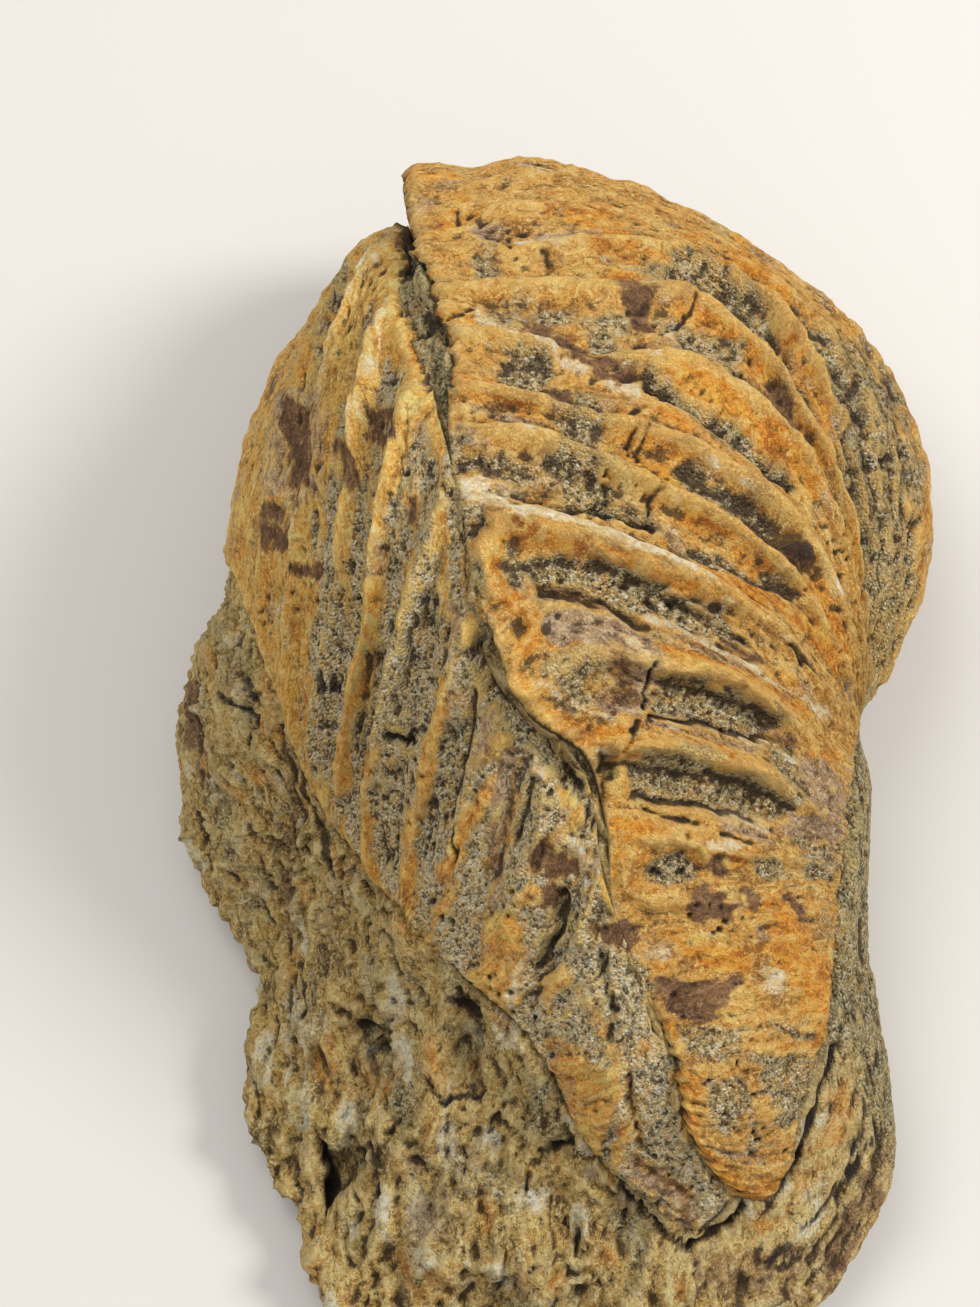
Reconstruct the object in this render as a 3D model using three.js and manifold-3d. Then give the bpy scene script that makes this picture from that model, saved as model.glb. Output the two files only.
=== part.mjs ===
// A fossil bivalve: two thick ribbed valves, still closed, lying on the sandstone that filled
// and surrounds them. Millimetres, +Z up, resting on z = 0, origin at the middle of the base.
//
// The fossil is laid out on a drawing plane that is tilted towards -Y, square to the shell's
// crest. On it x runs right, y runs from the beaks towards the shell's open margin, and a
// height c stands out of the plane. The body is one smooth surface over that plan: a crown
// that is highest along the crest, a rim where the surface turns over, and a skirt that runs
// from the rim down to the flat base. The valves are plates in that surface.

import * as THREE from 'three';
import { ImprovedNoise } from 'three/addons/math/ImprovedNoise.js';
import Module from 'manifold-3d';

const wasm = await Module();
wasm.setup();

// ---------------------------------------------------------------- driving dimensions

const PLAN_TILT = THREE.MathUtils.degToRad(25); // the plane's far side is raised by this
const PLAN_LIFT = 26; // height of the plane's zero above the ground
const PLAN_TAPER = 260; // the plan narrows to a point this high above the plane
const PLAN_SHIFT = new THREE.Vector2(-6.99, 1.37); // brings the base's middle to the origin
const BODY_CENTRE = new THREE.Vector2(7, -8.65); // where the plan's spokes meet

const VALVE_THICKNESS = 4.6; // at the middle of a valve
const VALVE_EDGE = 3; // at its edges
const SOCKET_GAP = 0.3; // clearance between a valve and the sandstone round it
const JOINED_SOCKETS = 0.8; // the same across the meeting line, where no sand parts the valves
const RIGHT_RIB = 0.85; // how far a rib stands above and a groove lies below the surface
const LEFT_RIB = 0.7;
const ROWS_PER_RIB = 4;
const SKIRT_RIBS = 3; // ribs between the rim and a valve's open margin
const LEAST_RISE = 2; // how far the surface stands above its rim at the least
const RISE_SOFTNESS = 1.2;
const SKIRT_END = 0.82; // where on the skirt, 0 at the rim and 1 at the ground, a valve ends
const PAUSE_DEPTH = 1.2; // extra depth of the furrow where the right valve's growth once paused

const SPOKES = 90;
const CROWN_RINGS = 13;
const SKIRT_RINGS = 5;
const BASE_INSET = 0.86; // size of the flat base against the rim's outline
const GAP_FILL_DEPTH = 1.5; // how far the sand lies below the valves in the gap between them

// The outline of the whole fossil on the plan, anticlockwise from the right valve's corner at
// the top of the gap: x, y, and the rim's height above the ground there.
const OUTLINE = [
  [-9.4, 47.6, 29], [-9.9, 43.7, 28], [-13.2, 40.2, 27], [-17.3, 34.7, 25], [-21.2, 28.2, 22],
  [-24.4, 20.4, 20], [-26.1, 12, 17], [-26.4, 6, 14], [-28.4, 2.4, 11], [-30.5, -3, 9],
  [-31.2, -7.5, 8], [-30.6, -14, 7.5], [-29.6, -20, 7], [-25.8, -27.5, 6.5],
  [-23.4, -32.2, 6], [-24.2, -38.5, 6], [-24.4, -45, 5.5], [-22.6, -52, 5],
  [-18.6, -55.8, 5], [-17.5, -62, 4.5], [-14.5, -66.6, 4.5], [-7, -69.4, 4.5], [4, -71, 5],
  [16, -70.8, 5], [26, -68.6, 5], [33, -64.8, 6], [37.2, -59.4, 7], [39.6, -53.8, 9],
  [40.5, -49, 10], [40.2, -43, 12], [38.8, -36, 13], [37.8, -28, 15], [38, -20, 17],
  [38.1, -13, 19], [37.5, -7.2, 20], [39.6, -2.6, 20], [42, 3.4, 20], [43.9, 10, 21],
  [43.7, 17.5, 22], [41.6, 24.5, 23], [37.8, 31, 24], [31, 37.4, 25], [23, 42.7, 26],
  [14, 46.9, 27], [3, 49.3, 28], [-2, 48.4, 29], [-6.4, 48.9, 29],
];

// The crown's profile along the crest, from the open margin to the foot: plan y against the
// crest's plan x and its height c.
const CREST = [
  [50, -9, -6], [40, -8, 5], [30, -6, 13], [20, -3.5, 18], [10, -1, 20.5], [0, 3, 21],
  [-15, 9.5, 20], [-30, 14, 18.5], [-42, 18, 17.5], [-52, 20, 14.5], [-60, 20, 12.5],
  [-72, 18, 12.5],
];
const CREST_ROUNDING = 3.5;
const RIGHT_SLOPE = { straight: 0.12, curved: 0.0045 };
const LEFT_SLOPE = { straight: 0.3, curved: 0.009 };

// Swellings of the smooth surface: plan x, y, the two radii and the height. The first two are
// the beaks of the right and the left valve.
const SWELLINGS = [
  { x: 26, y: -44, rx: 7.5, ry: 10, height: 3.2 },
  { x: 12.5, y: -45, rx: 6, ry: 9, height: 2.4 },
  { x: -20, y: -46, rx: 7, ry: 7, height: 3 },
  { x: -24, y: -12, rx: 6, ry: 9, height: 2.5 },
];

// The line where the valves meet, from the beaks to the open margin: plan x, y and the width
// of the gap between the valves there.
const MEETING_LINE = [
  [24.6, -55, 1], [21, -50.2, 1], [19, -45.7, 1], [18.1, -40.7, 1], [16.2, -35.7, 1],
  [13.5, -28.7, 1], [11.3, -21.7, 1], [11, -14.7, 1.2], [8.5, -9.2, 1], [2.2, -3.7, 1],
  [-1, 3.3, 1], [-2.3, 9.3, 1], [-3.3, 15.3, 1], [-4, 21.3, 1.3], [-5.4, 27.3, 2.6],
  [-7, 33.3, 3.6], [-8.8, 39.3, 1.8], [-9.6, 45, 1.6],
];

// Ribs of each valve, from the beak to the open margin. A rib starts on the meeting line, at a
// station counted along its points, and runs through these plan points to the valve's edge.
const RIGHT_RIBS = [
  { start: 0, path: [[26.1, -55], [27.2, -55.2], [28.2, -54.9], [29, -54.3]] },
  { start: 1, path: [[23.6, -51.4], [26.5, -51.9], [29, -50.9], [31, -49.2]] },
  { start: 2, path: [[22.5, -46.9], [26.5, -46.7], [30, -45.2], [32.4, -43.2]] },
  { start: 3, path: [[22.5, -40.9], [27, -40.4], [31, -39.4], [34, -37.9]] },
  { start: 3.8, path: [[21, -35], [26.5, -34.2], [31, -33.5], [34.9, -32.7]] },
  { start: 4.7, path: [[19, -29.2], [25, -29], [30.5, -28.2], [35.4, -28.5]] },
  { start: 5.5, path: [[16, -25], [21.5, -25.2], [27, -24.2], [31.5, -23.5], [35.9, -24]] },
  { start: 6.6, path: [[16, -17.7], [20.5, -18.7], [24.8, -19.7], [29.5, -20.5], [36.2, -21.5]] },
  { start: 7.75, path: [[13.8, -9.2], [21, -9.9], [27, -11.9], [32.2, -15.5], [36.6, -18.2]] },
  { start: 8.8, path: [[10, 0.2], [16, -0.9], [24.5, -2.7], [32, -8.2], [36.8, -13.7]] },
  { start: 11.8, path: [[4, 13.2], [12, 10.9], [21, 7.4], [30, 1.4], [37.1, -9.8]] },
  {
    start: 13.2,
    path: [[5.5, 21.7], [14, 17.9], [22, 13.9], [30, 7.6], [35.2, -0.7], [37.2, -8.3]],
  },
  {
    start: 13.9,
    path: [[4, 25.2], [13, 22.9], [21, 19.9], [28.5, 14.9], [33.8, 8.4], [36.2, 0.4], [37.3, -6.9]],
  },
  {
    start: 14.8,
    path: [
      [3, 31.1], [11, 29.2], [19, 29.2], [25.5, 25.6], [31, 19.6], [35, 12.4], [37, 3.4],
      [37.5, -5.6],
    ],
  },
  {
    start: 15.5,
    path: [
      [3, 36.4], [13, 36.4], [20, 35.4], [25.5, 31.4], [30, 25.4], [34, 18.9], [37.2, 9.4],
      [38, -4.3],
    ],
  },
  {
    start: 16.2,
    path: [
      [3, 40.9], [15, 41.4], [23, 39.2], [28.5, 34.4], [33.2, 27.9], [36.4, 20.4], [38.9, 9.4],
      [38.7, -3],
    ],
  },
  {
    start: 16.6,
    path: [[4, 44.9], [19, 42.2], [31, 34.9], [38, 25.9], [41, 15.4], [40.7, 5.4], [39.5, -1.6]],
  },
];
const RIGHT_RIM = { from: 105.8, to: 15 }; // bearings of the rim where the valve reaches it

const LEFT_RIBS = [
  { start: 0, path: [[23.8, -56], [22.9, -57], [21.9, -58], [20.8, -58.8]] },
  { start: 1, path: [[20, -52.4], [18.8, -53.9], [17.3, -54.9], [15.6, -55.2]] },
  { start: 2, path: [[17, -48.4], [15, -50.2], [13, -51.2], [10.9, -51.4]] },
  { start: 3, path: [[15.5, -44.2], [12.5, -46.1], [9.8, -46.6], [7.3, -45.7]] },
  { start: 4, path: [[13, -39.7], [9.5, -41.4], [7, -41.6], [4.8, -40.9]] },
  { start: 5, path: [[10.5, -33.7], [7, -36.4], [4, -37.2], [1.7, -37]] },
  { start: 6, path: [[8.5, -27.7], [5, -31.5], [1, -33.2], [-2.2, -33.4]] },
  { start: 7, path: [[6, -20.7], [1.5, -26.2], [-2.5, -29.5], [-6, -30.2]] },
  { start: 8, path: [[4.5, -13.7], [0.5, -19.7], [-3.5, -25.2], [-7.2, -28.9]] },
  { start: 9, path: [[-0.7, -9.7], [-3, -15.7], [-4.5, -20.7], [-6.5, -24.7], [-8.5, -27.7]] },
  {
    start: 10.2,
    path: [[-3.8, -0.7], [-5.4, -6.2], [-7, -13.2], [-8.2, -19.7], [-9.2, -26.2]],
  },
  {
    start: 12.4,
    path: [[-6.2, 11.4], [-8.5, 4.4], [-10.6, -3.7], [-12.1, -11.7], [-12.4, -19.7], [-11.2, -23.7]],
  },
  {
    start: 14,
    path: [
      [-8.5, 25.4], [-10, 19.4], [-11.4, 11.4], [-12.2, 3.4], [-14, -4.7], [-15, -11.7],
      [-15.2, -18.7],
    ],
  },
  {
    start: 15.3,
    path: [
      [-10.7, 34.4], [-12.5, 27.9], [-13.8, 20.4], [-14.6, 12.4], [-15.2, 5.4], [-16.8, -1.7],
      [-17.8, -8.7], [-18, -14.7],
    ],
  },
  {
    start: 16.3,
    path: [
      [-11.8, 39.9], [-14.2, 34.4], [-16.5, 28.4], [-18.2, 21.4], [-19, 14.4], [-19.8, 7.4],
      [-20.4, 0.4], [-20.6, -7.5],
    ],
  },
  {
    start: 16.65,
    path: [
      [-12.6, 40.9], [-16, 35.4], [-19.1, 28.9], [-21.3, 21.9], [-22.4, 14.9], [-22.9, 8],
      [-23.2, 0],
    ],
  },
];
const LEFT_RIM = { from: 110.5, to: 153 };

const GAP_OPENS = 11; // rib from which sand fills the gap between the valves

const PAUSE_RIB = 14; // the right valve's rib after which its growth paused

const RIGHT_COLUMNS = 14;
const LEFT_COLUMNS = 10;
const INNER_COLUMN_STEP = 2; // the hidden inner side of a valve has every second column

// Hollows and knobs of the sandstone: plan x, y, radii, and height above the surface.
const ROCK_FORMS = [
  { x: -2.2, y: -39.5, rx: 2, ry: 4, height: -3.4 },
  { x: -13.5, y: -52, rx: 2.6, ry: 4.5, height: -1.8 },
  { x: -11, y: -41, rx: 4, ry: 4, height: -1.5 },
  { x: -16.5, y: -47, rx: 4.5, ry: 4, height: 1.6 },
  { x: -5, y: -47, rx: 4.5, ry: 3.5, height: 1.4 },
  { x: -19, y: -36, rx: 4, ry: 5, height: 1.2 },
  { x: -21, y: -19, rx: 4, ry: 5, height: 1.3 },
  { x: -27, y: -5, rx: 4, ry: 6, height: 1.4 },
  { x: -2, y: -61, rx: 6, ry: 4, height: 1.3 },
  { x: 12, y: -60, rx: 5, ry: 3.5, height: 1 },
  { x: 14.5, y: -57.5, rx: 3, ry: 2, height: -1.6 },
  { x: 28, y: -61, rx: 7, ry: 2.5, height: 1 },
];

const ROCK_RELIEF = [{ size: 13, height: 1.5 }, { size: 6, height: 0.75 }, { size: 3, height: 0.35 }];

// ---------------------------------------------------------------- small helpers

const noise = new ImprovedNoise();
const smooth = THREE.MathUtils.smoothstep;

// A point of the plan, at height c above it, in the part's own frame.
function place(x, y, c) {
  const narrow = 1 - c / PLAN_TAPER;
  const across = y * narrow;
  return new THREE.Vector3(
    x * narrow + PLAN_SHIFT.x,
    across * Math.cos(PLAN_TILT) - c * Math.sin(PLAN_TILT) + PLAN_SHIFT.y,
    across * Math.sin(PLAN_TILT) + c * Math.cos(PLAN_TILT) + PLAN_LIFT,
  );
}

// The height c at which a plan point stands a given height above the ground.
function heightFor(y, ground) {
  const sine = Math.sin(PLAN_TILT);
  return (ground - PLAN_LIFT - y * sine) / (Math.cos(PLAN_TILT) - (y * sine) / PLAN_TAPER);
}

// A spline through rows of numbers, read by its first column.
function profile(rows) {
  const curve = new THREE.CatmullRomCurve3(rows.map(([x, y, z]) => new THREE.Vector3(x, y, z)));
  const samples = curve.getPoints(rows.length * 12).sort((p, q) => p.x - q.x);
  return (at) => {
    const next = samples.findIndex((p) => p.x > at);
    if (next === 0) return samples[0];
    if (next < 0) return samples[samples.length - 1];
    const low = samples[next - 1];
    return low.clone().lerp(samples[next], (at - low.x) / (samples[next].x - low.x));
  };
}

function bump(x, y, form) {
  return form.height * Math.exp(-(((x - form.x) / form.rx) ** 2) - ((y - form.y) / form.ry) ** 2);
}

// ---------------------------------------------------------------- the body's smooth surface

const outlineCurve = new THREE.CatmullRomCurve3(
  OUTLINE.map(([x, y, ground]) => new THREE.Vector3(x, y, heightFor(y, ground))),
  true,
);

// The rim as a table of bearing, radius and height round the body's centre, by bearing.
const rimTable = outlineCurve.getPoints(OUTLINE.length * 16).map((p) => ({
  bearing: Math.atan2(p.y - BODY_CENTRE.y, p.x - BODY_CENTRE.x),
  radius: Math.hypot(p.x - BODY_CENTRE.x, p.y - BODY_CENTRE.y),
  c: p.z,
})).sort((p, q) => p.bearing - q.bearing);

function rimAt(bearing) {
  let next = rimTable.findIndex((p) => p.bearing > bearing);
  if (next <= 0) next = rimTable.length;
  const low = rimTable[next - 1];
  const high = rimTable[next % rimTable.length];
  const span = (high.bearing - low.bearing + 2 * Math.PI) % (2 * Math.PI);
  const share = span > 1e-9 ? ((bearing - low.bearing + 2 * Math.PI) % (2 * Math.PI)) / span : 0;
  const radius = THREE.MathUtils.lerp(low.radius, high.radius, share);
  return {
    x: BODY_CENTRE.x + radius * Math.cos(bearing),
    y: BODY_CENTRE.y + radius * Math.sin(bearing),
    c: THREE.MathUtils.lerp(low.c, high.c, share),
    radius,
  };
}

const crestAt = profile(CREST);

function crown(x, y) {
  const crest = crestAt(y);
  const aside = x - crest.y;
  const slope = aside > 0 ? RIGHT_SLOPE : LEFT_SLOPE;
  const rounded = Math.hypot(aside, CREST_ROUNDING) - CREST_ROUNDING;
  const swelling = SWELLINGS.reduce((sum, form) => sum + bump(x, y, form), 0);
  return crest.z - slope.straight * rounded - slope.curved * aside * aside + swelling;
}

// Height c of the smooth surface over a plan point: the crown, turned over at the rim. Where
// the crown would sink below the rim, the surface stays a little above the rim instead.
function surface(x, y) {
  const dx = x - BODY_CENTRE.x;
  const dy = y - BODY_CENTRE.y;
  const rim = rimAt(Math.atan2(dy, dx));
  const out = Math.min(1, Math.hypot(dx, dy) / rim.radius);
  const above = (crown(x, y) - rim.c - LEAST_RISE) / RISE_SOFTNESS;
  const rise = LEAST_RISE + RISE_SOFTNESS * Math.log1p(Math.exp(Math.min(above, 60)));
  return rim.c + (above < 20 ? rise : crown(x, y) - rim.c) * Math.sqrt(1 - out ** 4);
}

const onSurface = (x, y) => place(x, y, surface(x, y));

function surfaceNormal(x, y) {
  const reach = 0.4;
  const across = onSurface(x + reach, y).sub(onSurface(x - reach, y));
  const along = onSurface(x, y + reach).sub(onSurface(x, y - reach));
  return across.cross(along).normalize();
}

// The skirt below a point of the rim, from t = 0 at the rim to t = 1 on the ground.
function skirt(rim, t) {
  const top = place(rim.x, rim.y, rim.c);
  const sightline = place(rim.x, rim.y, rim.c - 1).sub(top);
  const turn = top.clone().addScaledVector(sightline, (0.7 * top.z) / -sightline.z);
  const foot = new THREE.Vector3(top.x * BASE_INSET, top.y * BASE_INSET, 0);
  return new THREE.QuadraticBezierCurve3(top, turn, foot).getPoint(t);
}

// ---------------------------------------------------------------- the valves

const meeting = new THREE.CatmullRomCurve3(
  MEETING_LINE.map(([x, y, gap]) => new THREE.Vector3(x, y, gap)),
);

// The point where a valve's rib leaves the meeting line; side is 1 on the right, -1 on the left.
function ribStart(station, side) {
  const t = station / (MEETING_LINE.length - 1);
  const point = meeting.getPoint(t);
  const along = meeting.getTangent(t).setZ(0).normalize();
  return [point.x + (side * along.y * point.z) / 2, point.y - (side * along.x * point.z) / 2];
}

// The smooth surface of a valve as a grid of points: rows follow the ribs from the beak to the
// open margin and on down the skirt, columns run from the meeting line to the outer edge.
function valveGrid({ ribs, rim, side, columns }) {
  const ribCurves = ribs.map(({ start, path }) => new THREE.CatmullRomCurve3(
    [ribStart(start, side), ...path].map(([x, y]) => new THREE.Vector3(x, y, 0)),
  ));
  const last = ribs.length - 1;
  const grid = [];
  for (let column = 0; column <= columns; column += 1) {
    const u = column / columns;
    const across = new THREE.CatmullRomCurve3(ribCurves.map((curve) => curve.getPointAt(u)));
    const edge = rimAt(THREE.MathUtils.degToRad(THREE.MathUtils.lerp(rim.from, rim.to, u)));
    const inner = ribCurves[last].getPointAt(u);
    const points = [];
    for (let row = 0; row <= last * ROWS_PER_RIB; row += 1) {
      const { x, y } = across.getPoint(row / (last * ROWS_PER_RIB));
      points.push({ at: onSurface(x, y), normal: surfaceNormal(x, y), rib: row / ROWS_PER_RIB });
    }
    for (let row = 1; row <= ROWS_PER_RIB; row += 1) {
      const reach = Math.sin(((row / ROWS_PER_RIB) * Math.PI) / 2);
      const x = THREE.MathUtils.lerp(inner.x, edge.x, reach);
      const y = THREE.MathUtils.lerp(inner.y, edge.y, reach);
      points.push({ at: onSurface(x, y), rib: last + row / ROWS_PER_RIB });
    }
    for (let row = 1; row <= SKIRT_RIBS * ROWS_PER_RIB; row += 1) {
      const share = row / (SKIRT_RIBS * ROWS_PER_RIB);
      points.push({ at: skirt(edge, share * SKIRT_END), rib: last + 1 + row / ROWS_PER_RIB });
    }
    grid.push(points.map((point) => ({ ...point, u })));
  }
  return grid.map((column, i) => column.map((point, j) => {
    if (point.normal) return point;
    const before = grid[Math.max(i - 1, 0)][j].at;
    const after = grid[Math.min(i + 1, columns)][j].at;
    const below = column[Math.max(j - 1, 0)].at;
    const above = column[Math.min(j + 1, column.length - 1)].at;
    const normal = after.clone().sub(before).cross(above.clone().sub(below)).normalize();
    return { ...point, normal: normal.multiplyScalar(side) };
  }));
}

// Share of full relief at a point of a valve: ribs die out at its edges and are finer beyond
// the last full rib.
function ribFade(u, rib, ribCount) {
  const fine = 1 - 0.6 * smooth(rib, ribCount - SKIRT_RIBS - 2.4, ribCount - SKIRT_RIBS - 1);
  return fine * smooth(u, -0.02, 0.1) * (1 - smooth(u, 0.86, 1.02))
    * smooth(rib, -0.2, 2.5) * (1 - smooth(rib, ribCount - 0.6, ribCount));
}

function rightRelief({ u, rib }, ribCount) {
  const crowded = 1 - 0.85 * smooth(u, 0.5, 1) * smooth(rib, 7, 9);
  const wave = RIGHT_RIB * Math.cos(2 * Math.PI * rib) * crowded * ribFade(u, rib, ribCount);
  const pause = Math.sin(Math.PI * THREE.MathUtils.clamp(rib - PAUSE_RIB, 0, 1));
  return wave - PAUSE_DEPTH * pause * smooth(u, 0.25, 0.45) * (1 - smooth(u, 0.75, 1));
}

function leftRelief({ u, rib }, ribCount) {
  return LEFT_RIB * Math.cos(2 * Math.PI * rib) * ribFade(u, rib, ribCount);
}

// A grid of points moved along its normals, with its border pushed outwards in the surface.
function offsetGrid(grid, distance, margin) {
  const lastColumn = grid.length - 1;
  const lastRow = grid[0].length - 1;
  return grid.map((column, i) => column.map((point, j) => {
    const moved = point.at.clone().addScaledVector(point.normal, distance(point));
    const push = (i2, j2, by) => (
      moved.addScaledVector(point.at.clone().sub(grid[i2][j2].at).normalize(), by)
    );
    const closed = 1 - smooth(point.rib, GAP_OPENS - 1, GAP_OPENS);
    if (i === 0) push(1, j, margin && THREE.MathUtils.lerp(margin, JOINED_SOCKETS, closed));
    if (i === lastColumn) push(i - 1, j, margin);
    if (j === 0) push(i, 1, margin);
    if (j === lastRow) push(i, j - 1, margin);
    return moved;
  }));
}

// The border of a grid as a loop of column and row numbers.
function borderLoop(columns, rows, columnStep, rowStep) {
  const loop = [];
  for (let i = 0; i < columns - 1; i += columnStep) loop.push([i, 0]);
  for (let j = 0; j < rows - 1; j += rowStep) loop.push([columns - 1, j]);
  for (let i = columns - 1; i > 0; i -= columnStep) loop.push([i, rows - 1]);
  for (let j = rows - 1; j > 0; j -= rowStep) loop.push([0, j]);
  return loop;
}

const FINE = { across: 1, along: 1 };
const COARSE = { across: INNER_COLUMN_STEP, along: ROWS_PER_RIB };

// Two sheets of points closed into one solid. The inner sheet may be coarser: it keeps every
// so many columns across the valve and rows along it.
function plateGeometry(outer, inner, { across, along }, side) {
  const columns = outer.length;
  const rows = outer[0].length;
  const positions = [...outer.flat(), ...inner.flat()].flatMap((p) => [p.x, p.y, p.z]);
  const outerAt = ([i, j]) => i * rows + j;
  const innerAt = ([i, j]) => (columns + i) * rows + j;
  const index = [];
  const face = (a, b, c) => (side > 0 ? index.push(a, b, c) : index.push(a, c, b));
  for (let i = 0; i < columns - 1; i += 1) {
    for (let j = 0; j < rows - 1; j += 1) {
      face(outerAt([i, j]), outerAt([i + 1, j]), outerAt([i + 1, j + 1]));
      face(outerAt([i, j]), outerAt([i + 1, j + 1]), outerAt([i, j + 1]));
    }
  }
  for (let i = 0; i < columns - 1; i += across) {
    for (let j = 0; j < rows - 1; j += along) {
      face(innerAt([i, j]), innerAt([i + across, j + along]), innerAt([i + across, j]));
      face(innerAt([i, j]), innerAt([i, j + along]), innerAt([i + across, j + along]));
    }
  }
  const outerLoop = borderLoop(columns, rows, 1, 1);
  const innerLoop = borderLoop(columns, rows, across, along);
  const stations = innerLoop.map(([i, j]) => outerLoop.findIndex((p) => p[0] === i && p[1] === j));
  stations.push(outerLoop.length);
  innerLoop.push(innerLoop[0]);
  let held = 0;
  outerLoop.forEach((from, k) => {
    const to = outerLoop[(k + 1) % outerLoop.length];
    face(outerAt(from), innerAt(innerLoop[held]), outerAt(to));
    if (held < stations.length - 1 && k + 1 >= (stations[held] + stations[held + 1]) / 2) {
      face(outerAt(to), innerAt(innerLoop[held]), innerAt(innerLoop[held + 1]));
      held += 1;
    }
  });
  const geometry = new THREE.BufferGeometry();
  geometry.setAttribute('position', new THREE.Float32BufferAttribute(positions, 3));
  geometry.setIndex(index);
  return usedPoints(geometry);
}

// The same geometry without the points that no face uses.
function usedPoints(geometry) {
  const source = geometry.getAttribute('position');
  const numbers = new Map();
  const positions = [];
  const index = Array.from(geometry.getIndex().array, (old) => {
    if (!numbers.has(old)) {
      numbers.set(old, numbers.size);
      positions.push(source.getX(old), source.getY(old), source.getZ(old));
    }
    return numbers.get(old);
  });
  const kept = new THREE.BufferGeometry();
  kept.setAttribute('position', new THREE.Float32BufferAttribute(positions, 3));
  kept.setIndex(index);
  return kept;
}

// A valve and the two larger forms that its socket in the sandstone is cut with: one for the
// bed it lies in, one for the room above it.
function makeValve({ ribs, rim, side, columns, relief }) {
  const grid = valveGrid({ ribs, rim, side, columns });
  const ribCount = ribs.length + SKIRT_RIBS;
  const depth = ({ u, rib }) => {
    const edge = Math.min(Math.min(u, 1 - u) * 4, Math.min(rib, ribCount - rib) / 2.5);
    return -THREE.MathUtils.lerp(VALVE_EDGE, VALVE_THICKNESS, smooth(edge, 0, 1));
  };
  const outer = offsetGrid(grid, (point) => relief(point, ribCount), 0);
  const inner = offsetGrid(grid, depth, 0);
  const level = offsetGrid(grid, () => 0, SOCKET_GAP);
  const under = offsetGrid(grid, () => -1, SOCKET_GAP);
  const above = offsetGrid(grid, () => 6, SOCKET_GAP);
  const bed = offsetGrid(grid, (point) => depth(point) - SOCKET_GAP, SOCKET_GAP);
  return {
    body: plateGeometry(outer, inner, COARSE, side),
    sockets: [
      plateGeometry(level, bed, COARSE, side),
      plateGeometry(above, under, FINE, side),
    ],
  };
}

// ---------------------------------------------------------------- the sandstone

// Plan outline of the ground that the two valves cover, for the sand's level beside them.
function coverOutline() {
  const right = RIGHT_RIBS.map(({ path }) => path[path.length - 1]);
  const left = LEFT_RIBS.map(({ path }) => path[path.length - 1]);
  const rightRim = [12, 30, 48, 66, 84, 106].map((d) => rimAt(THREE.MathUtils.degToRad(d)));
  const leftRim = [110, 125, 140, 153].map((d) => rimAt(THREE.MathUtils.degToRad(d)));
  return [
    ...RIGHT_RIBS[0].path, ...right.slice(1), ...rightRim.map(({ x, y }) => [x, y]),
    ...leftRim.map(({ x, y }) => [x, y]), ...left.slice(1).reverse(),
    ...LEFT_RIBS[0].path.slice().reverse(),
  ];
}

const cover = coverOutline();

// Distance from a plan point to the cover's outline, below zero inside it.
function coverDistance(x, y) {
  let nearest = Infinity;
  let inside = false;
  cover.forEach(([ax, ay], i) => {
    const [bx, by] = cover[(i + 1) % cover.length];
    const length2 = (bx - ax) ** 2 + (by - ay) ** 2;
    const t = THREE.MathUtils.clamp(((x - ax) * (bx - ax) + (y - ay) * (by - ay)) / length2, 0, 1);
    nearest = Math.min(nearest, Math.hypot(x - ax - t * (bx - ax), y - ay - t * (by - ay)));
    if ((ay > y) !== (by > y) && x < ax + ((y - ay) * (bx - ax)) / (by - ay)) inside = !inside;
  });
  return inside ? -nearest : nearest;
}

function rockLevel(x, y) {
  const distance = coverDistance(x, y);
  const beside = -GAP_FILL_DEPTH * (distance < 0 ? 1 : Math.exp(-((distance / 6) ** 2)));
  return beside + ROCK_FORMS.reduce((sum, form) => sum + bump(x, y, form), 0);
}

function rockNoise(p) {
  return ROCK_RELIEF.reduce((sum, { size, height }) => (
    sum + height * noise.noise(p.x / size + 7.3, p.y / size + 2.1, p.z / size + 4.7)
  ), 0);
}

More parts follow.
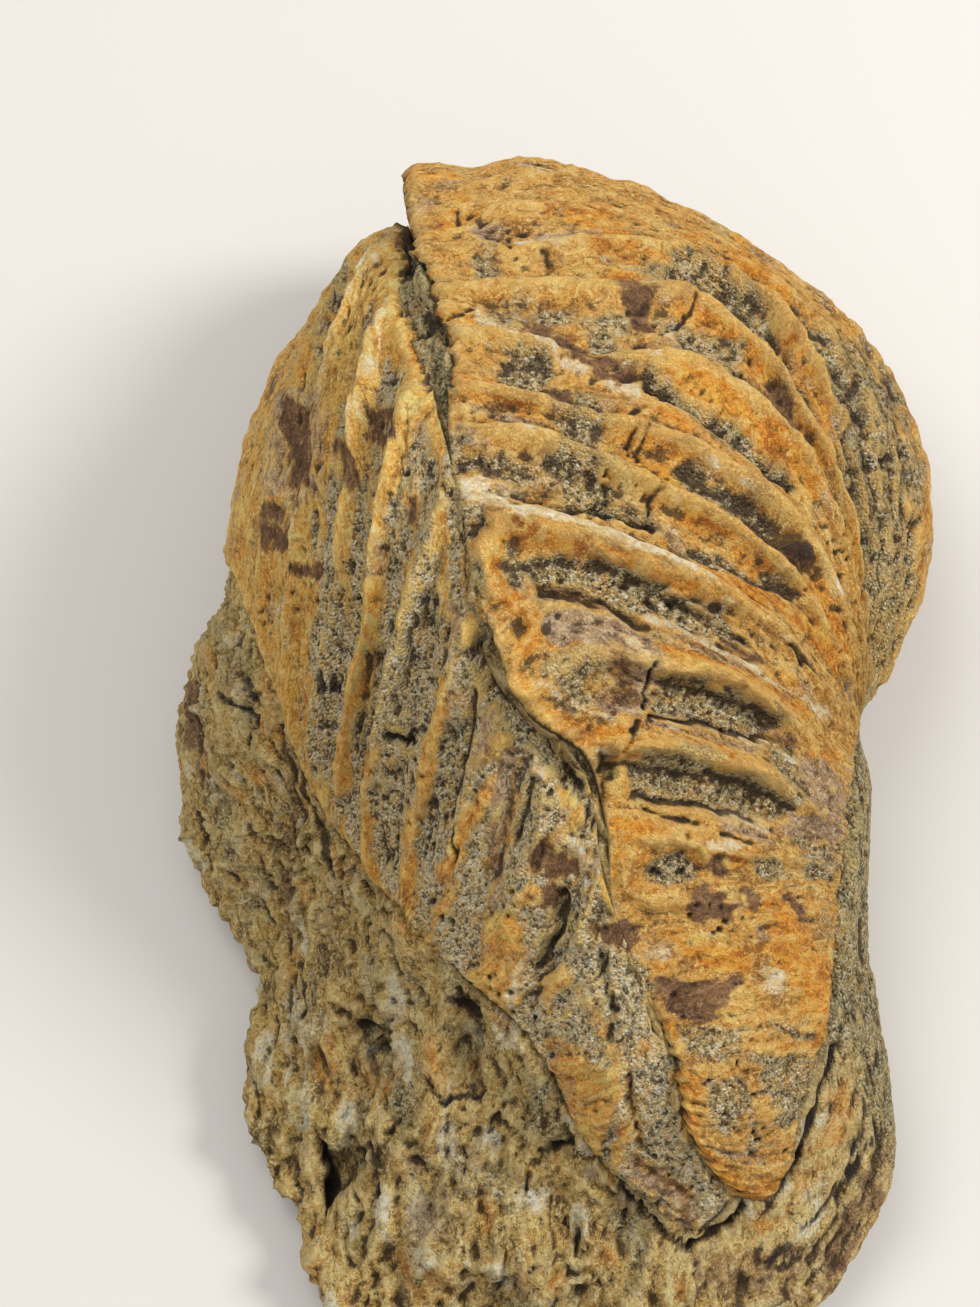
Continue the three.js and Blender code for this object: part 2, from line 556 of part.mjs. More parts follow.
// The whole body as rings round the plan's centre: crown, rim, skirt and flat base.
function bodyGeometry() {
  const spokes = outlineCurve.getSpacedPoints(SPOKES).slice(0, SPOKES).map((p) => {
    const bearing = Math.atan2(p.y - BODY_CENTRE.y, p.x - BODY_CENTRE.x);
    return { ...rimAt(bearing), bearing };
  });
  const rings = [];
  for (let ring = 1; ring <= CROWN_RINGS; ring += 1) {
    const out = Math.sin(((ring / CROWN_RINGS) * Math.PI) / 2);
    rings.push(spokes.map((rim) => {
      const x = THREE.MathUtils.lerp(BODY_CENTRE.x, rim.x, out);
      const y = THREE.MathUtils.lerp(BODY_CENTRE.y, rim.y, out);
      const rise = rockLevel(x, y) * (1 - smooth(out, 0.9, 1));
      return { at: place(x, y, surface(x, y) + rise), rough: 1 };
    }));
  }
  for (let ring = 1; ring <= SKIRT_RINGS; ring += 1) {
    const t = ring / SKIRT_RINGS;
    rings.push(spokes.map((rim) => ({ at: skirt(rim, t), rough: 1 - t })));
  }
  const centreTop = onSurface(BODY_CENTRE.x, BODY_CENTRE.y);
  const centreBase = new THREE.Vector3(0, 0, 0);
  const points = [{ at: centreTop, rough: 0 }, ...rings.flat(), { at: centreBase, rough: 0 }];
  const index = [];
  const at = (ring, spoke) => 1 + ring * SPOKES + (spoke % SPOKES);
  for (let s = 0; s < SPOKES; s += 1) {
    index.push(0, at(0, s), at(0, s + 1));
    for (let r = 0; r < rings.length - 1; r += 1) {
      index.push(at(r, s), at(r + 1, s), at(r + 1, s + 1), at(r, s), at(r + 1, s + 1), at(r, s + 1));
    }
    index.push(at(rings.length - 1, s), points.length - 1, at(rings.length - 1, s + 1));
  }
  const geometry = new THREE.BufferGeometry();
  const positions = points.flatMap(({ at: p }) => [p.x, p.y, p.z]);
  geometry.setAttribute('position', new THREE.Float32BufferAttribute(positions, 3));
  geometry.setIndex(index);
  geometry.computeVertexNormals();
  const position = geometry.getAttribute('position');
  const normal = geometry.getAttribute('normal');
  points.forEach(({ at: p, rough }, i) => {
    const push = rough * rockNoise(p);
    position.setXYZ(
      i,
      p.x + normal.getX(i) * push,
      p.y + normal.getY(i) * push,
      Math.max(0, p.z + normal.getZ(i) * push),
    );
  });
  return geometry;
}

function toManifold(geometry) {
  return new wasm.Manifold(new wasm.Mesh({
    numProp: 3,
    vertProperties: new Float32Array(geometry.getAttribute('position').array),
    triVerts: new Uint32Array(geometry.getIndex().array),
  }));
}

function fromManifold(solid) {
  const mesh = solid.getMesh();
  const geometry = new THREE.BufferGeometry();
  geometry.setAttribute('position', new THREE.Float32BufferAttribute(mesh.vertProperties, 3));
  geometry.setIndex(Array.from(mesh.triVerts));
  return geometry;
}

// The body with both sockets cut out; crumbs that the cut leaves loose are dropped.
function rockGeometry(sockets) {
  const cut = sockets.reduce(
    (solid, socket) => solid.subtract(toManifold(socket)),
    toManifold(bodyGeometry()),
  );
  const lumps = cut.decompose().sort((a, b) => b.volume() - a.volume());
  return fromManifold(lumps[0]);
}

// ---------------------------------------------------------------- the assembly

const rightValve = makeValve({
  ribs: RIGHT_RIBS, rim: RIGHT_RIM, side: 1, columns: RIGHT_COLUMNS, relief: rightRelief,
});
const leftValve = makeValve({
  ribs: LEFT_RIBS, rim: LEFT_RIM, side: -1, columns: LEFT_COLUMNS, relief: leftRelief,
});

const shellMaterial = new THREE.MeshStandardMaterial({
  color: 0xb8843a, roughness: 0.8, metalness: 0, flatShading: true,
});
const rockMaterial = new THREE.MeshStandardMaterial({
  color: 0x8b7d5c, roughness: 0.95, metalness: 0, flatShading: true,
});

function namedMesh(name, geometry, material) {
  const mesh = new THREE.Mesh(geometry, material);
  mesh.name = name;
  return mesh;
}

const fossil = new THREE.Group();
fossil.add(
  namedMesh('right_valve', rightValve.body, shellMaterial),
  namedMesh('left_valve', leftValve.body, shellMaterial),
  namedMesh(
    'sandstone_matrix',
    rockGeometry([...rightValve.sockets, ...leftValve.sockets]),
    rockMaterial,
  ),
);

export default fossil;
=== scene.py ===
"""A fossil bivalve: two thick ribbed valves, still closed, on the sandstone that fills them.

Plan coordinates are millimetres on a drawing plane tilted towards -Y: x to the right, y from
the beaks to the open margin, and a height c out of the plane. Marks on the surface are given
on a drawing sheet laid over that plan, in tenths of a millimetre right and down from the
sheet's top left corner.
"""
import itertools
import math

import bpy
import numpy as np
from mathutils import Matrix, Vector


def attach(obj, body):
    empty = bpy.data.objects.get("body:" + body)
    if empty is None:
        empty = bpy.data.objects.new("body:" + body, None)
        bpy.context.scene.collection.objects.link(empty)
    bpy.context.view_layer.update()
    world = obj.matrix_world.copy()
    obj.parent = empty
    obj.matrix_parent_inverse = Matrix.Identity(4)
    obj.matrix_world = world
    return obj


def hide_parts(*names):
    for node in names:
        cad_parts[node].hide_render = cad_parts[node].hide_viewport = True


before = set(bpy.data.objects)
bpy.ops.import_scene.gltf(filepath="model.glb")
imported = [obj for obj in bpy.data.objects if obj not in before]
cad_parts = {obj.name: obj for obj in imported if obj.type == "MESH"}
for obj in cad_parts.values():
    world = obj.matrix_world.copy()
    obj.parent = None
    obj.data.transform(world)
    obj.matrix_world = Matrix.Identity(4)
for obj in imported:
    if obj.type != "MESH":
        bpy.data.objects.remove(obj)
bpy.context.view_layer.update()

MM = 0.001

# ------------------------------------------------------------------ driving dimensions

# The drawing plane.
PLAN_TILT = math.radians(25)
PLAN_LIFT = 26
PLAN_TAPER = 260  # the plan narrows to a point, where the eye stands, this high above it
PLAN_SHIFT = (-6.99, 1.37)
BODY_CENTRE = (7, -8.65)  # the plan point that the rim runs round
SHEET_ORIGIN = (490, 653.5)  # where the plan's zero lies on the drawing sheet
TENTHS = 10

# The body's smooth surface.
LEAST_RISE = 2  # the surface stays at least about this far above the rim
RISE_SOFTNESS = 1.2
CREST_ROUNDING = 3.5
RIGHT_SLOPE = (0.12, 0.0045)  # fall beside the crest, per mm and per mm squared
LEFT_SLOPE = (0.3, 0.009)
BASE_INSET = 0.86  # the base's size as a share of the rim's
SKIRT_TURN = 0.7  # how far down the side turns in towards the base

# The valves.
VALVE_THICKNESS = 4.6
VALVE_EDGE = 3
BED_DEPTH = 5.4  # how far the sandstone lies below the shell's face, under the valves
SKIRT_RIBS = 3  # ribs on the side below the rim
SKIRT_END = 0.82  # the share of the side that a valve covers
RIGHT_RIB = 1.1
LEFT_RIB = 1.0
PAUSE_RIB = 14  # the growth pause, a broad step across the right valve
PAUSE_DEPTH = 1.2

# Outline of the fossil: plan x, y and the rim's height above the ground.
OUTLINE = [
    (-9.4, 47.6, 29), (-9.9, 43.7, 28), (-13.2, 40.2, 27), (-17.3, 34.7, 25),
    (-21.2, 28.2, 22), (-24.4, 20.4, 20), (-26.1, 12, 17), (-26.4, 6, 14), (-28.4, 2.4, 11),
    (-30.5, -3, 9), (-31.2, -7.5, 8), (-30.6, -14, 7.5), (-29.6, -20, 7), (-25.8, -27.5, 6.5),
    (-23.4, -32.2, 6), (-24.2, -38.5, 6), (-24.4, -45, 5.5), (-22.6, -52, 5),
    (-18.6, -55.8, 5), (-17.5, -62, 4.5), (-14.5, -66.6, 4.5), (-7, -69.4, 4.5), (4, -71, 5),
    (16, -70.8, 5), (26, -68.6, 5), (33, -64.8, 6), (37.2, -59.4, 7), (39.6, -53.8, 9),
    (40.5, -49, 10), (40.2, -43, 12), (38.8, -36, 13), (37.8, -28, 15), (38, -20, 17),
    (38.1, -13, 19), (37.5, -7.2, 20), (39.6, -2.6, 20), (42, 3.4, 20), (43.9, 10, 21),
    (43.7, 17.5, 22), (41.6, 24.5, 23), (37.8, 31, 24), (31, 37.4, 25), (23, 42.7, 26),
    (14, 46.9, 27), (3, 49.3, 28), (-2, 48.4, 29), (-6.4, 48.9, 29),
]

# The crown along its crest: plan y, the crest's plan x and its height c.
CREST = [
    (50, -9, -6), (40, -8, 5), (30, -6, 13), (20, -3.5, 18), (10, -1, 20.5), (0, 3, 21),
    (-15, 9.5, 20), (-30, 14, 18.5), (-42, 18, 17.5), (-52, 20, 14.5), (-60, 20, 12.5),
    (-72, 18, 12.5),
]

# Swellings of the crown, the first two being the beaks: plan x, y, radii and height.
SWELLINGS = [
    (26, -44, 7.5, 10, 3.2), (12.5, -45, 6, 9, 2.4), (-20, -46, 7, 7, 3), (-24, -12, 6, 9, 2.5),
]

# Where the valves meet, from the beaks to the margin: plan x, y and the width of the gap.
MEETING_LINE = [
    (24.6, -55, 0.06), (21, -50.2, 0.06), (19, -45.7, 0.06), (18.1, -40.7, 0.06),
    (16.2, -35.7, 0.06), (13.5, -28.7, 0.06), (11.3, -21.7, 0.2), (11, -14.7, 1.4),
    (8.5, -9.2, 0.4), (2.2, -3.7, 0.06), (-1, 3.3, 0.06), (-2.3, 9.3, 0.06), (-3.3, 15.3, 0.06),
    (-4.2, 21.3, 0.2), (-5.2, 27.3, 2.0), (-6.7, 33.3, 3.7), (-8.2, 39.3, 1.1), (-9.2, 45, 0.2),
]

# Ribs from the beak to the open margin: the station on the meeting line, then plan points.
RIGHT_RIBS = [
    (0, [(26.1, -55), (27.2, -55.2), (28.2, -54.9), (29, -54.3)]),
    (1, [(23.6, -51.4), (26.5, -51.9), (29, -50.9), (31, -49.2)]),
    (2, [(22.5, -46.9), (26.5, -46.7), (30, -45.2), (32.4, -43.2)]),
    (3, [(22.5, -40.9), (27, -40.4), (31, -39.4), (34, -37.9)]),
    (3.8, [(21, -35), (26.5, -34.2), (31, -33.5), (34.9, -32.7)]),
    (4.7, [(19, -29.2), (25, -29), (30.5, -28.2), (35.4, -28.5)]),
    (5.5, [(16, -25), (21.5, -25.2), (27, -24.2), (31.5, -23.5), (35.9, -24)]),
    (6.6, [(16, -17.7), (20.5, -18.7), (24.8, -19.7), (29.5, -20.5), (36.2, -21.5)]),
    (7.75, [(13.8, -9.2), (21, -9.9), (27, -11.9), (32.2, -15.5), (36.6, -18.2)]),
    (8.8, [(10, 0.2), (16, -0.9), (24.5, -2.7), (32, -8.2), (36.8, -13.7)]),
    (11.8, [(4, 13.2), (12, 10.9), (21, 7.4), (30, 1.4), (37.1, -9.8)]),
    (13.2, [(5.5, 21.7), (14, 17.9), (22, 13.9), (30, 7.6), (35.2, -0.7), (37.2, -8.3)]),
    (13.9, [(4, 25.2), (13, 22.9), (21, 19.9), (28.5, 14.9), (33.8, 8.4), (36.2, 0.4),
            (37.3, -6.9)]),
    (14.8, [(3, 31.1), (11, 29.2), (19, 29.2), (25.5, 25.6), (31, 19.6), (35, 12.4),
            (37, 3.4), (37.5, -5.6)]),
    (15.5, [(3, 36.4), (13, 36.4), (20, 35.4), (25.5, 31.4), (30, 25.4), (34, 18.9),
            (37.2, 9.4), (38, -4.3)]),
    (16.2, [(3, 40.9), (15, 41.4), (23, 39.2), (28.5, 34.4), (33.2, 27.9), (36.4, 20.4),
            (38.9, 9.4), (38.7, -3)]),
    (16.6, [(4, 44.9), (19, 42.2), (31, 34.9), (38, 25.9), (41, 15.4), (40.7, 5.4),
            (39.5, -1.6)]),
]
RIGHT_RIM = (105.8, 9)  # bearings of the rim where the valve reaches it

LEFT_RIBS = [
    (0, [(23.8, -56), (22.9, -57), (21.9, -58), (20.8, -58.8)]),
    (1, [(20, -52.4), (18.8, -53.9), (17.3, -54.9), (15.6, -55.2)]),
    (2, [(17, -48.4), (15, -50.2), (13, -51.2), (10.9, -51.4)]),
    (3, [(15.5, -44.2), (12.5, -46.1), (9.8, -46.6), (7.3, -45.7)]),
    (4, [(13, -39.7), (9.5, -41.4), (7, -41.6), (4.8, -40.9)]),
    (5, [(10.5, -33.7), (7, -36.4), (4, -37.2), (1.7, -37)]),
    (6, [(8.5, -27.7), (5, -31.5), (1, -33.2), (-2.2, -33.4)]),
    (7, [(6, -20.7), (1.5, -26.2), (-2.5, -29.5), (-6, -30.2)]),
    (8, [(4.5, -13.7), (0.5, -19.7), (-3.5, -25.2), (-7.2, -28.9)]),
    (9, [(-0.7, -9.7), (-3, -15.7), (-4.5, -20.7), (-6.5, -24.7), (-8.5, -27.7)]),
    (10.2, [(-3.8, -0.7), (-5.4, -6.2), (-7, -13.2), (-8.2, -19.7), (-9.2, -26.2)]),
    (12.4, [(-6.2, 11.4), (-8.5, 4.4), (-10.6, -3.7), (-12.1, -11.7), (-12.4, -19.7),
            (-11.2, -23.7)]),
    (14, [(-8.5, 25.4), (-10, 19.4), (-11.4, 11.4), (-12.2, 3.4), (-14, -4.7), (-15, -11.7),
          (-15.2, -18.7)]),
    (15.3, [(-10.7, 34.4), (-12.5, 27.9), (-13.8, 20.4), (-14.6, 12.4), (-15.2, 5.4),
            (-16.8, -1.7), (-17.8, -8.7), (-18, -14.7)]),
    (16.3, [(-11.8, 39.9), (-14.2, 34.4), (-16.5, 28.4), (-18.2, 21.4), (-19, 14.4),
            (-19.8, 7.4), (-20.4, 0.4), (-20.6, -7.5)]),
    (16.65, [(-12.6, 40.9), (-16, 35.4), (-19.1, 28.9), (-21.3, 21.9), (-22.4, 14.9),
             (-22.9, 8), (-23.2, 0)]),
]
LEFT_RIM = (108, 153)

# Hollows and knobs of the sandstone: plan x, y, radii and height.
ROCK_FORMS = [
    (-2.2, -39.5, 2, 4, -3.4), (-13.5, -52, 2.6, 4.5, -1.8), (-11, -41, 4, 4, -1.5),
    (-16.5, -47, 4.5, 4, 1.6), (-5, -47, 4.5, 3.5, 1.4), (-19, -36, 4, 5, 1.2),
    (-21, -19, 4, 5, 1.3), (-27, -5, 4, 6, 1.4), (-2, -61, 6, 4, 1.3), (12, -60, 5, 3.5, 1),
    (14.5, -57.5, 3, 2, -1.6), (28, -61, 7, 2.5, 1),
]

# ------------------------------------------------------------------ marks on the surface

# How a mark is made: its finish ("ochre" is the bare shell), how fully that covers, the
# height in mm, and the softness of its edge in tenths of a mm.
MARK_KINDS = {
    "ochre": ("ochre", 0.8, 0.0, 8),
    "crest": ("ochre", 0.8, 0.55, 7),
    "rust": ("rust", 0.6, 0.1, 10),
    "rust crest": ("rust", 0.65, 0.4, 5),
    "strip": ("rust", 0.75, 0.2, 5),
    "sand": ("sand", 0.8, -0.3, 7),
    "hollow": ("sand", 0.95, -0.9, 6),
    "groove": ("sand", 0.95, -1.0, 5),
    "plum": ("plum", 0.8, -0.25, 6),
    "cream": ("cream", 0.75, 0.1, 6),
    "cream crest": ("cream", 0.9, 0.5, 7),
    "lavender": ("lavender", 0.75, -0.1, 7),
    # crack, crevice, pit and furrow darken with the dark finish as painted shade in these recesses;
    # shadow paints shadow lines
    "crack": ("dark", 0.9, -0.5, 2.5),
    "crevice": ("dark", 0.95, -2.4, 3),
    "shadow": ("dark", 0.6, -1.1, 5),
    "pit": ("dark", 0.7, -0.6, 3),
    "bead": ("plum", 1.0, 1.2, 2.5),
    "gloss": ("dark", 0.75, 0.9, 2.5),
    "lip": ("rust", 0.9, 1.1, 6),
    "band": ("plum", 0.5, -0.3, 7),
    "taupe": ("lavender", 1.0, -0.35, 5),
    "furrow": ("dark", 0.5, -0.4, 6),
    "lump": ("", 0.0, 1.0, 6),
    "dip": ("", 0.0, -1.0, 6),
}
AREA = "area"  # in place of a half width: the points are the corners of a patch

# Marks on the valves: kind, half width in tenths of a mm or AREA, then points of the sheet.
SHELL_MARKS = [
    # the right valve's open margin
    ("pit", 3, (456, 213), (461, 220)), ("pit", 3, (470, 212)), ("pit", 3, (478, 214), (481, 222)),
    ("pit", 3, (492, 228)), ("pit", 4, (507, 230), (510, 245)), ("pit", 4, (519, 232), (527, 233)),
    ("pit", 3, (545, 250), (550, 258)), ("pit", 3, (498, 240), (487, 236)),
    ("lavender", AREA, (470, 222), (500, 225), (502, 248), (478, 252)),
    ("sand", AREA, (472, 250), (500, 249), (504, 268), (478, 273)),
    ("lavender", AREA, (540, 235), (570, 222), (586, 234), (560, 250)),
    ("cream", 3, (413, 246), (417, 260), (421, 276)),
    ("crack", 2, (450, 318), (462, 312), (475, 307)),
    ("crack", 1.5, (612, 200), (620, 206), (628, 203)),
    ("plum", AREA, (600, 278), (625, 282), (652, 290), (658, 324), (640, 320), (622, 300)),
    ("cream", 6, (480, 312), (520, 335), (560, 356), (600, 373), (640, 386)),
    ("groove", 6, (522, 326), (560, 345), (600, 360), (640, 370)),
    ("plum", AREA, (522, 310), (545, 320), (575, 330), (590, 350), (640, 365), (652, 374),
     (625, 377), (590, 367), (560, 352), (535, 336)),
    ("sand", AREA, (588, 324), (612, 322), (618, 344), (594, 348)),
    ("hollow", AREA, (492, 360), (518, 350), (545, 352), (557, 366), (545, 390), (503, 376)),
    ("plum", AREA, (632, 338), (650, 332), (652, 352), (636, 362)),
    ("plum", AREA, (546, 378), (572, 378), (580, 395), (574, 418), (546, 420)),
    ("rust", AREA, (652, 336), (690, 345), (700, 375), (672, 388), (656, 372)),
    ("rust", AREA, (455, 375), (500, 378), (538, 400), (552, 428), (500, 406), (455, 396)),
    ("sand", AREA, (560, 400), (600, 397), (612, 420), (600, 442), (570, 436), (553, 420)),
    ("lavender", 4, (475, 403), (510, 412), (550, 430)),
    ("rust", AREA, (620, 400), (690, 425), (700, 520), (640, 480), (600, 450)),
    ("cream", 2.5, (628, 378), (640, 374), (656, 360)), ("cream", 2.5, (632, 388), (644, 382)),
    # the middle of the right valve
    ("hollow", AREA, (455, 455), (470, 446), (510, 450), (545, 456), (562, 440), (586, 440),
     (602, 458), (602, 476), (624, 492), (600, 502), (560, 498), (528, 498), (518, 480),
     (480, 472), (457, 470)),
    ("lavender", AREA, (524, 477), (555, 474), (558, 495), (528, 496)),
    ("cream", AREA, (452, 478), (475, 474), (495, 480), (520, 490), (495, 502), (465, 500)),
    ("cream", 3, (540, 469), (560, 471)), ("cream", 3.5, (564, 480), (568, 495)),
    ("groove", 7, (518, 489), (545, 493), (570, 500), (600, 501), (622, 509), (655, 520)),
    ("shadow", 4, (518, 489), (545, 494), (572, 500), (600, 502), (622, 510), (655, 522)),
    ("crack", 1.5, (604, 482), (611, 486), (612, 496), (607, 499)), ("pit", 3, (606, 473)),
    ("crack", 2, (657, 486), (655, 505), (652, 520)),
    ("crack", 3, (641, 402), (636, 414)), ("crack", 1.5, (631, 423), (631, 450)),
    ("crack", 1.5, (643, 425), (641, 456)),
    ("cream crest", 8, (462, 496), (480, 501), (510, 508), (540, 515), (580, 525), (620, 541),
     (660, 560), (700, 584)),
    ("lavender", 5, (530, 531), (580, 537), (620, 550), (660, 566), (700, 588)),
    ("cream", 3.5, (610, 536), (640, 552), (665, 563), (690, 578)),
    ("crack", 3, (440, 483), (450, 492), (466, 501)),
    ("rust crest", 10, (480, 550), (500, 534), (530, 530), (570, 543), (610, 556), (650, 572),
     (700, 596)),
    ("hollow", AREA, (525, 562), (560, 556), (600, 562), (640, 576), (690, 592), (740, 622),
     (770, 645), (740, 648), (700, 632), (660, 624), (600, 602), (560, 598), (535, 590)),
    ("shadow", 4, (540, 589), (570, 594), (600, 601), (630, 613), (652, 626)),
    ("pit", 4, (548, 582)), ("pit", 3, (567, 576)), ("pit", 4, (630, 583)), ("pit", 3, (606, 583)),
    ("pit", 4, (655, 598), (662, 606)), ("pit", 4, (678, 600)),
    ("band", 8, (556, 588), (590, 598), (624, 610), (660, 624)),
    ("band", 6, (690, 636), (728, 648), (764, 658)),
    ("sand", AREA, (445, 500), (466, 503), (490, 510), (493, 530), (478, 546), (458, 540)),
    ("crack", 2.5, (458, 530), (464, 546), (466, 576)),
    # the right shoulder
    ("rust", 12, (690, 238), (740, 268), (790, 302), (840, 352), (880, 402), (908, 460),
     (920, 520)),
    ("hollow", AREA, (668, 252), (680, 245), (700, 245), (725, 262), (750, 285), (768, 310),
     (792, 345), (814, 400), (824, 432), (814, 440), (800, 396), (775, 353), (740, 313),
     (695, 291), (672, 264)),
    ("shadow", 3.5, (680, 266), (700, 286), (725, 301)),
    ("pit", 3, (705, 258)), ("pit", 3, (707, 272)), ("pit", 3, (728, 267)), ("pit", 3, (758, 320)),
    ("pit", 3, (773, 340)), ("pit", 3, (787, 350)),
    ("hollow", AREA, (790, 302), (818, 330), (850, 370), (885, 420), (897, 452), (872, 478),
     (852, 442), (824, 372)),
    ("pit", 6, (830, 388), (844, 400)),
    ("rust crest", 8, (768, 292), (792, 340), (817, 382), (836, 424)),
    ("rust crest", 13, (678, 294), (725, 333), (765, 372), (790, 412), (820, 457)),
    ("sand", AREA, (675, 325), (702, 328), (742, 345), (746, 356), (710, 353), (678, 341)),
    ("plum", 7, (750, 380), (780, 398), (800, 438)),
    ("crack", 2, (662, 326), (676, 322), (690, 312), (697, 300)),
    ("crack", 1.5, (737, 366), (745, 375), (755, 362)),
    ("cream", 3.5, (665, 326), (715, 361), (740, 386), (770, 411), (800, 455)),
    ("lavender", 4, (700, 362), (740, 388), (780, 418)),
    ("lavender", 5, (500, 484), (530, 488), (560, 494)), ("band", 6, (530, 482), (556, 486)),
    ("rust crest", 9, (700, 384), (750, 417), (788, 455), (815, 492)),
    ("rust crest", 9, (660, 402), (700, 428), (740, 458), (780, 497), (815, 542)),
    ("groove", 6, (648, 372), (690, 400), (725, 421), (745, 436), (770, 456), (797, 482)),
    ("shadow", 3, (652, 376), (690, 402), (725, 423), (745, 438), (770, 458), (797, 484)),
    ("cream", 2, (800, 450), (815, 470)), ("cream", 2, (820, 500), (835, 540)),
    # towards the right edge
    ("groove", 9, (690, 470), (740, 501), (775, 536)),
    ("cream", 4, (703, 488)), ("cream", 4, (715, 475)),
    ("groove", 6, (700, 548), (725, 562), (750, 575), (800, 592)),
    ("rust crest", 9, (690, 512), (740, 533), (770, 556), (820, 602), (850, 652)),
    ("rust crest", 9, (700, 566), (740, 586), (780, 605), (815, 632), (845, 672)),
    ("plum", AREA, (700, 632), (740, 640), (772, 660), (750, 667), (710, 650)),
    ("cream", 5, (655, 618), (680, 624), (740, 657), (780, 686), (830, 716)),
    ("lavender", 4, (660, 628), (740, 668), (790, 700)),
    ("crack", 2, (790, 645), (803, 660), (815, 675)),
    ("rust crest", 10, (660, 650), (700, 662), (760, 688), (800, 714)),
    ("hollow", AREA, (655, 680), (690, 675), (740, 690), (790, 720), (770, 736), (720, 728),
     (660, 715)),
    ("shadow", 3, (655, 714), (720, 727), (770, 737)),
    ("lavender", 4, (650, 722), (700, 737), (760, 748)),
    ("ochre", 9, (835, 480), (848, 540), (855, 620), (860, 690)),
    ("sand", AREA, (858, 430), (895, 450), (920, 520), (915, 600), (885, 690), (868, 690),
     (866, 560)),
    ("lavender", 3, (874, 450), (888, 530), (884, 640)), ("lavender", 3, (900, 480), (909, 560)),
    ("groove", 2.5, (846, 430), (860, 480), (866, 560), (868, 640)),
    ("groove", 3, (862, 440), (876, 500), (880, 560), (876, 650)),
    ("groove", 2.5, (880, 450), (890, 520), (890, 600), (880, 665)),
    ("groove", 2, (893, 450), (903, 520), (900, 600), (886, 670)),
    ("groove", 2, (905, 450), (916, 520), (912, 590), (895, 660)),
    ("rust", 5, (908, 470), (922, 530), (920, 570)), ("rust", 6, (872, 600), (880, 680)),
    ("ochre", AREA, (765, 540), (785, 532), (808, 534), (822, 560), (806, 580), (780, 570)),
    ("bead", AREA, (773, 547), (785, 541), (800, 541), (811, 550), (814, 564), (804, 570),
     (785, 561)),
    ("gloss", AREA, (776, 549), (786, 544), (799, 544), (808, 551), (810, 562), (802, 567),
     (787, 559)),
    # the lobe where the growth of the right valve was broken and healed
    ("taupe", AREA, (552, 606), (590, 604), (630, 616), (656, 636), (664, 672), (652, 708),
     (628, 720), (598, 710), (612, 684), (606, 664), (588, 648), (562, 646), (544, 636)),
    ("band", AREA, (596, 640), (624, 646), (640, 676), (636, 704), (612, 708), (616, 676)),
    ("cream", AREA, (626, 630), (642, 634), (648, 656), (632, 650)),
    ("sand", AREA, (544, 668), (552, 652), (572, 645), (596, 650), (606, 668), (604, 690),
     (588, 702), (562, 694), (546, 682)),
    ("ochre", AREA, (586, 672), (600, 668), (604, 690), (590, 698)),
    ("lip", 10, (500, 536), (482, 560), (500, 592), (532, 614), (538, 628), (522, 644),
     (513, 660), (517, 682), (536, 704), (560, 722), (588, 736), (610, 738), (626, 722)),
    ("cream", 3, (540, 682), (560, 698), (586, 710), (616, 718)),
    ("crack", 2.5, (622, 748), (634, 734), (640, 720)),
    ("crack", 2, (646, 706), (652, 680), (654, 660)),
    # the right valve's lower ribs
    ("rust crest", 12, (625, 748), (660, 746), (700, 752), (740, 764), (780, 777), (820, 792)),
    ("hollow", AREA, (630, 766), (680, 761), (740, 776), (790, 796), (800, 810), (760, 821),
     (700, 803), (634, 799)),
    ("shadow", 3.5, (632, 798), (700, 803), (760, 821)),
    ("crack", 1.5, (640, 812), (690, 820)),
    ("rust crest", 10, (618, 830), (660, 836), (720, 851), (780, 866)),
    ("cream", AREA, (700, 838), (740, 842), (742, 853), (700, 850)),
    ("crack", 2, (664, 820), (700, 824)), ("crack", 2, (720, 836), (752, 842)),
    ("rust", AREA, (610, 850), (700, 850), (722, 880), (690, 902), (630, 902), (608, 880)),
    ("sand", AREA, (638, 864), (652, 852), (676, 849), (696, 862), (694, 882), (668, 891),
     (642, 884)),
    ("rust", 8, (622, 884), (626, 852), (656, 838), (696, 842), (712, 866)),
    ("crest", 7, (622, 884), (628, 852), (656, 838), (696, 842), (712, 868), (698, 896),
     (656, 902), (624, 888)),
    ("pit", 4, (654, 870), (660, 874)), ("pit", 3, (684, 872)),
    ("plum", AREA, (704, 862), (722, 854), (733, 876), (718, 880)),
    ("plum", AREA, (682, 905), (700, 887), (722, 889), (740, 908), (734, 922), (700, 924)),
    ("plum", AREA, (740, 884), (757, 884), (763, 906), (757, 920), (749, 902)),
    ("plum", AREA, (788, 888), (806, 904), (817, 926), (800, 923), (784, 900)),
    ("plum", AREA, (648, 984), (662, 978), (682, 986), (715, 980), (735, 972), (746, 976),
     (730, 1004), (702, 1022), (680, 1019), (664, 1002)),
    ("lavender", AREA, (645, 940), (672, 942), (668, 962), (646, 958)),
    ("rust", AREA, (780, 740), (840, 745), (848, 812), (800, 814), (775, 772)),
    ("plum", AREA, (770, 731), (800, 735), (801, 753), (772, 749)),
    ("plum", AREA, (800, 770), (822, 775), (821, 803), (802, 799)),
    ("lavender", AREA, (790, 812), (830, 815), (828, 851), (795, 849)),
    ("sand", AREA, (642, 752), (700, 744), (720, 762), (706, 790), (650, 786)),
    ("sand", AREA, (722, 776), (762, 772), (782, 796), (760, 812), (728, 802)),
    ("lavender", AREA, (716, 806), (760, 812), (786, 838), (752, 842), (722, 830)),
    ("sand", AREA, (744, 858), (778, 856), (790, 876), (762, 886)),
    ("sand", AREA, (772, 745), (800, 742), (814, 800), (792, 812), (774, 790)),
    ("lavender", AREA, (804, 752), (846, 772), (850, 852), (822, 862), (806, 800)),
    ("sand", AREA, (800, 840), (838, 846), (836, 884), (806, 880)),
    ("cream", 3, (742, 730), (772, 742), (800, 762)),
    ("rust", AREA, (690, 960), (742, 946), (756, 968), (720, 978)),
    ("sand", AREA, (604, 960), (640, 964), (650, 990), (618, 992)),
    ("sand", AREA, (806, 330), (860, 340), (905, 400), (925, 470), (915, 560), (880, 610),
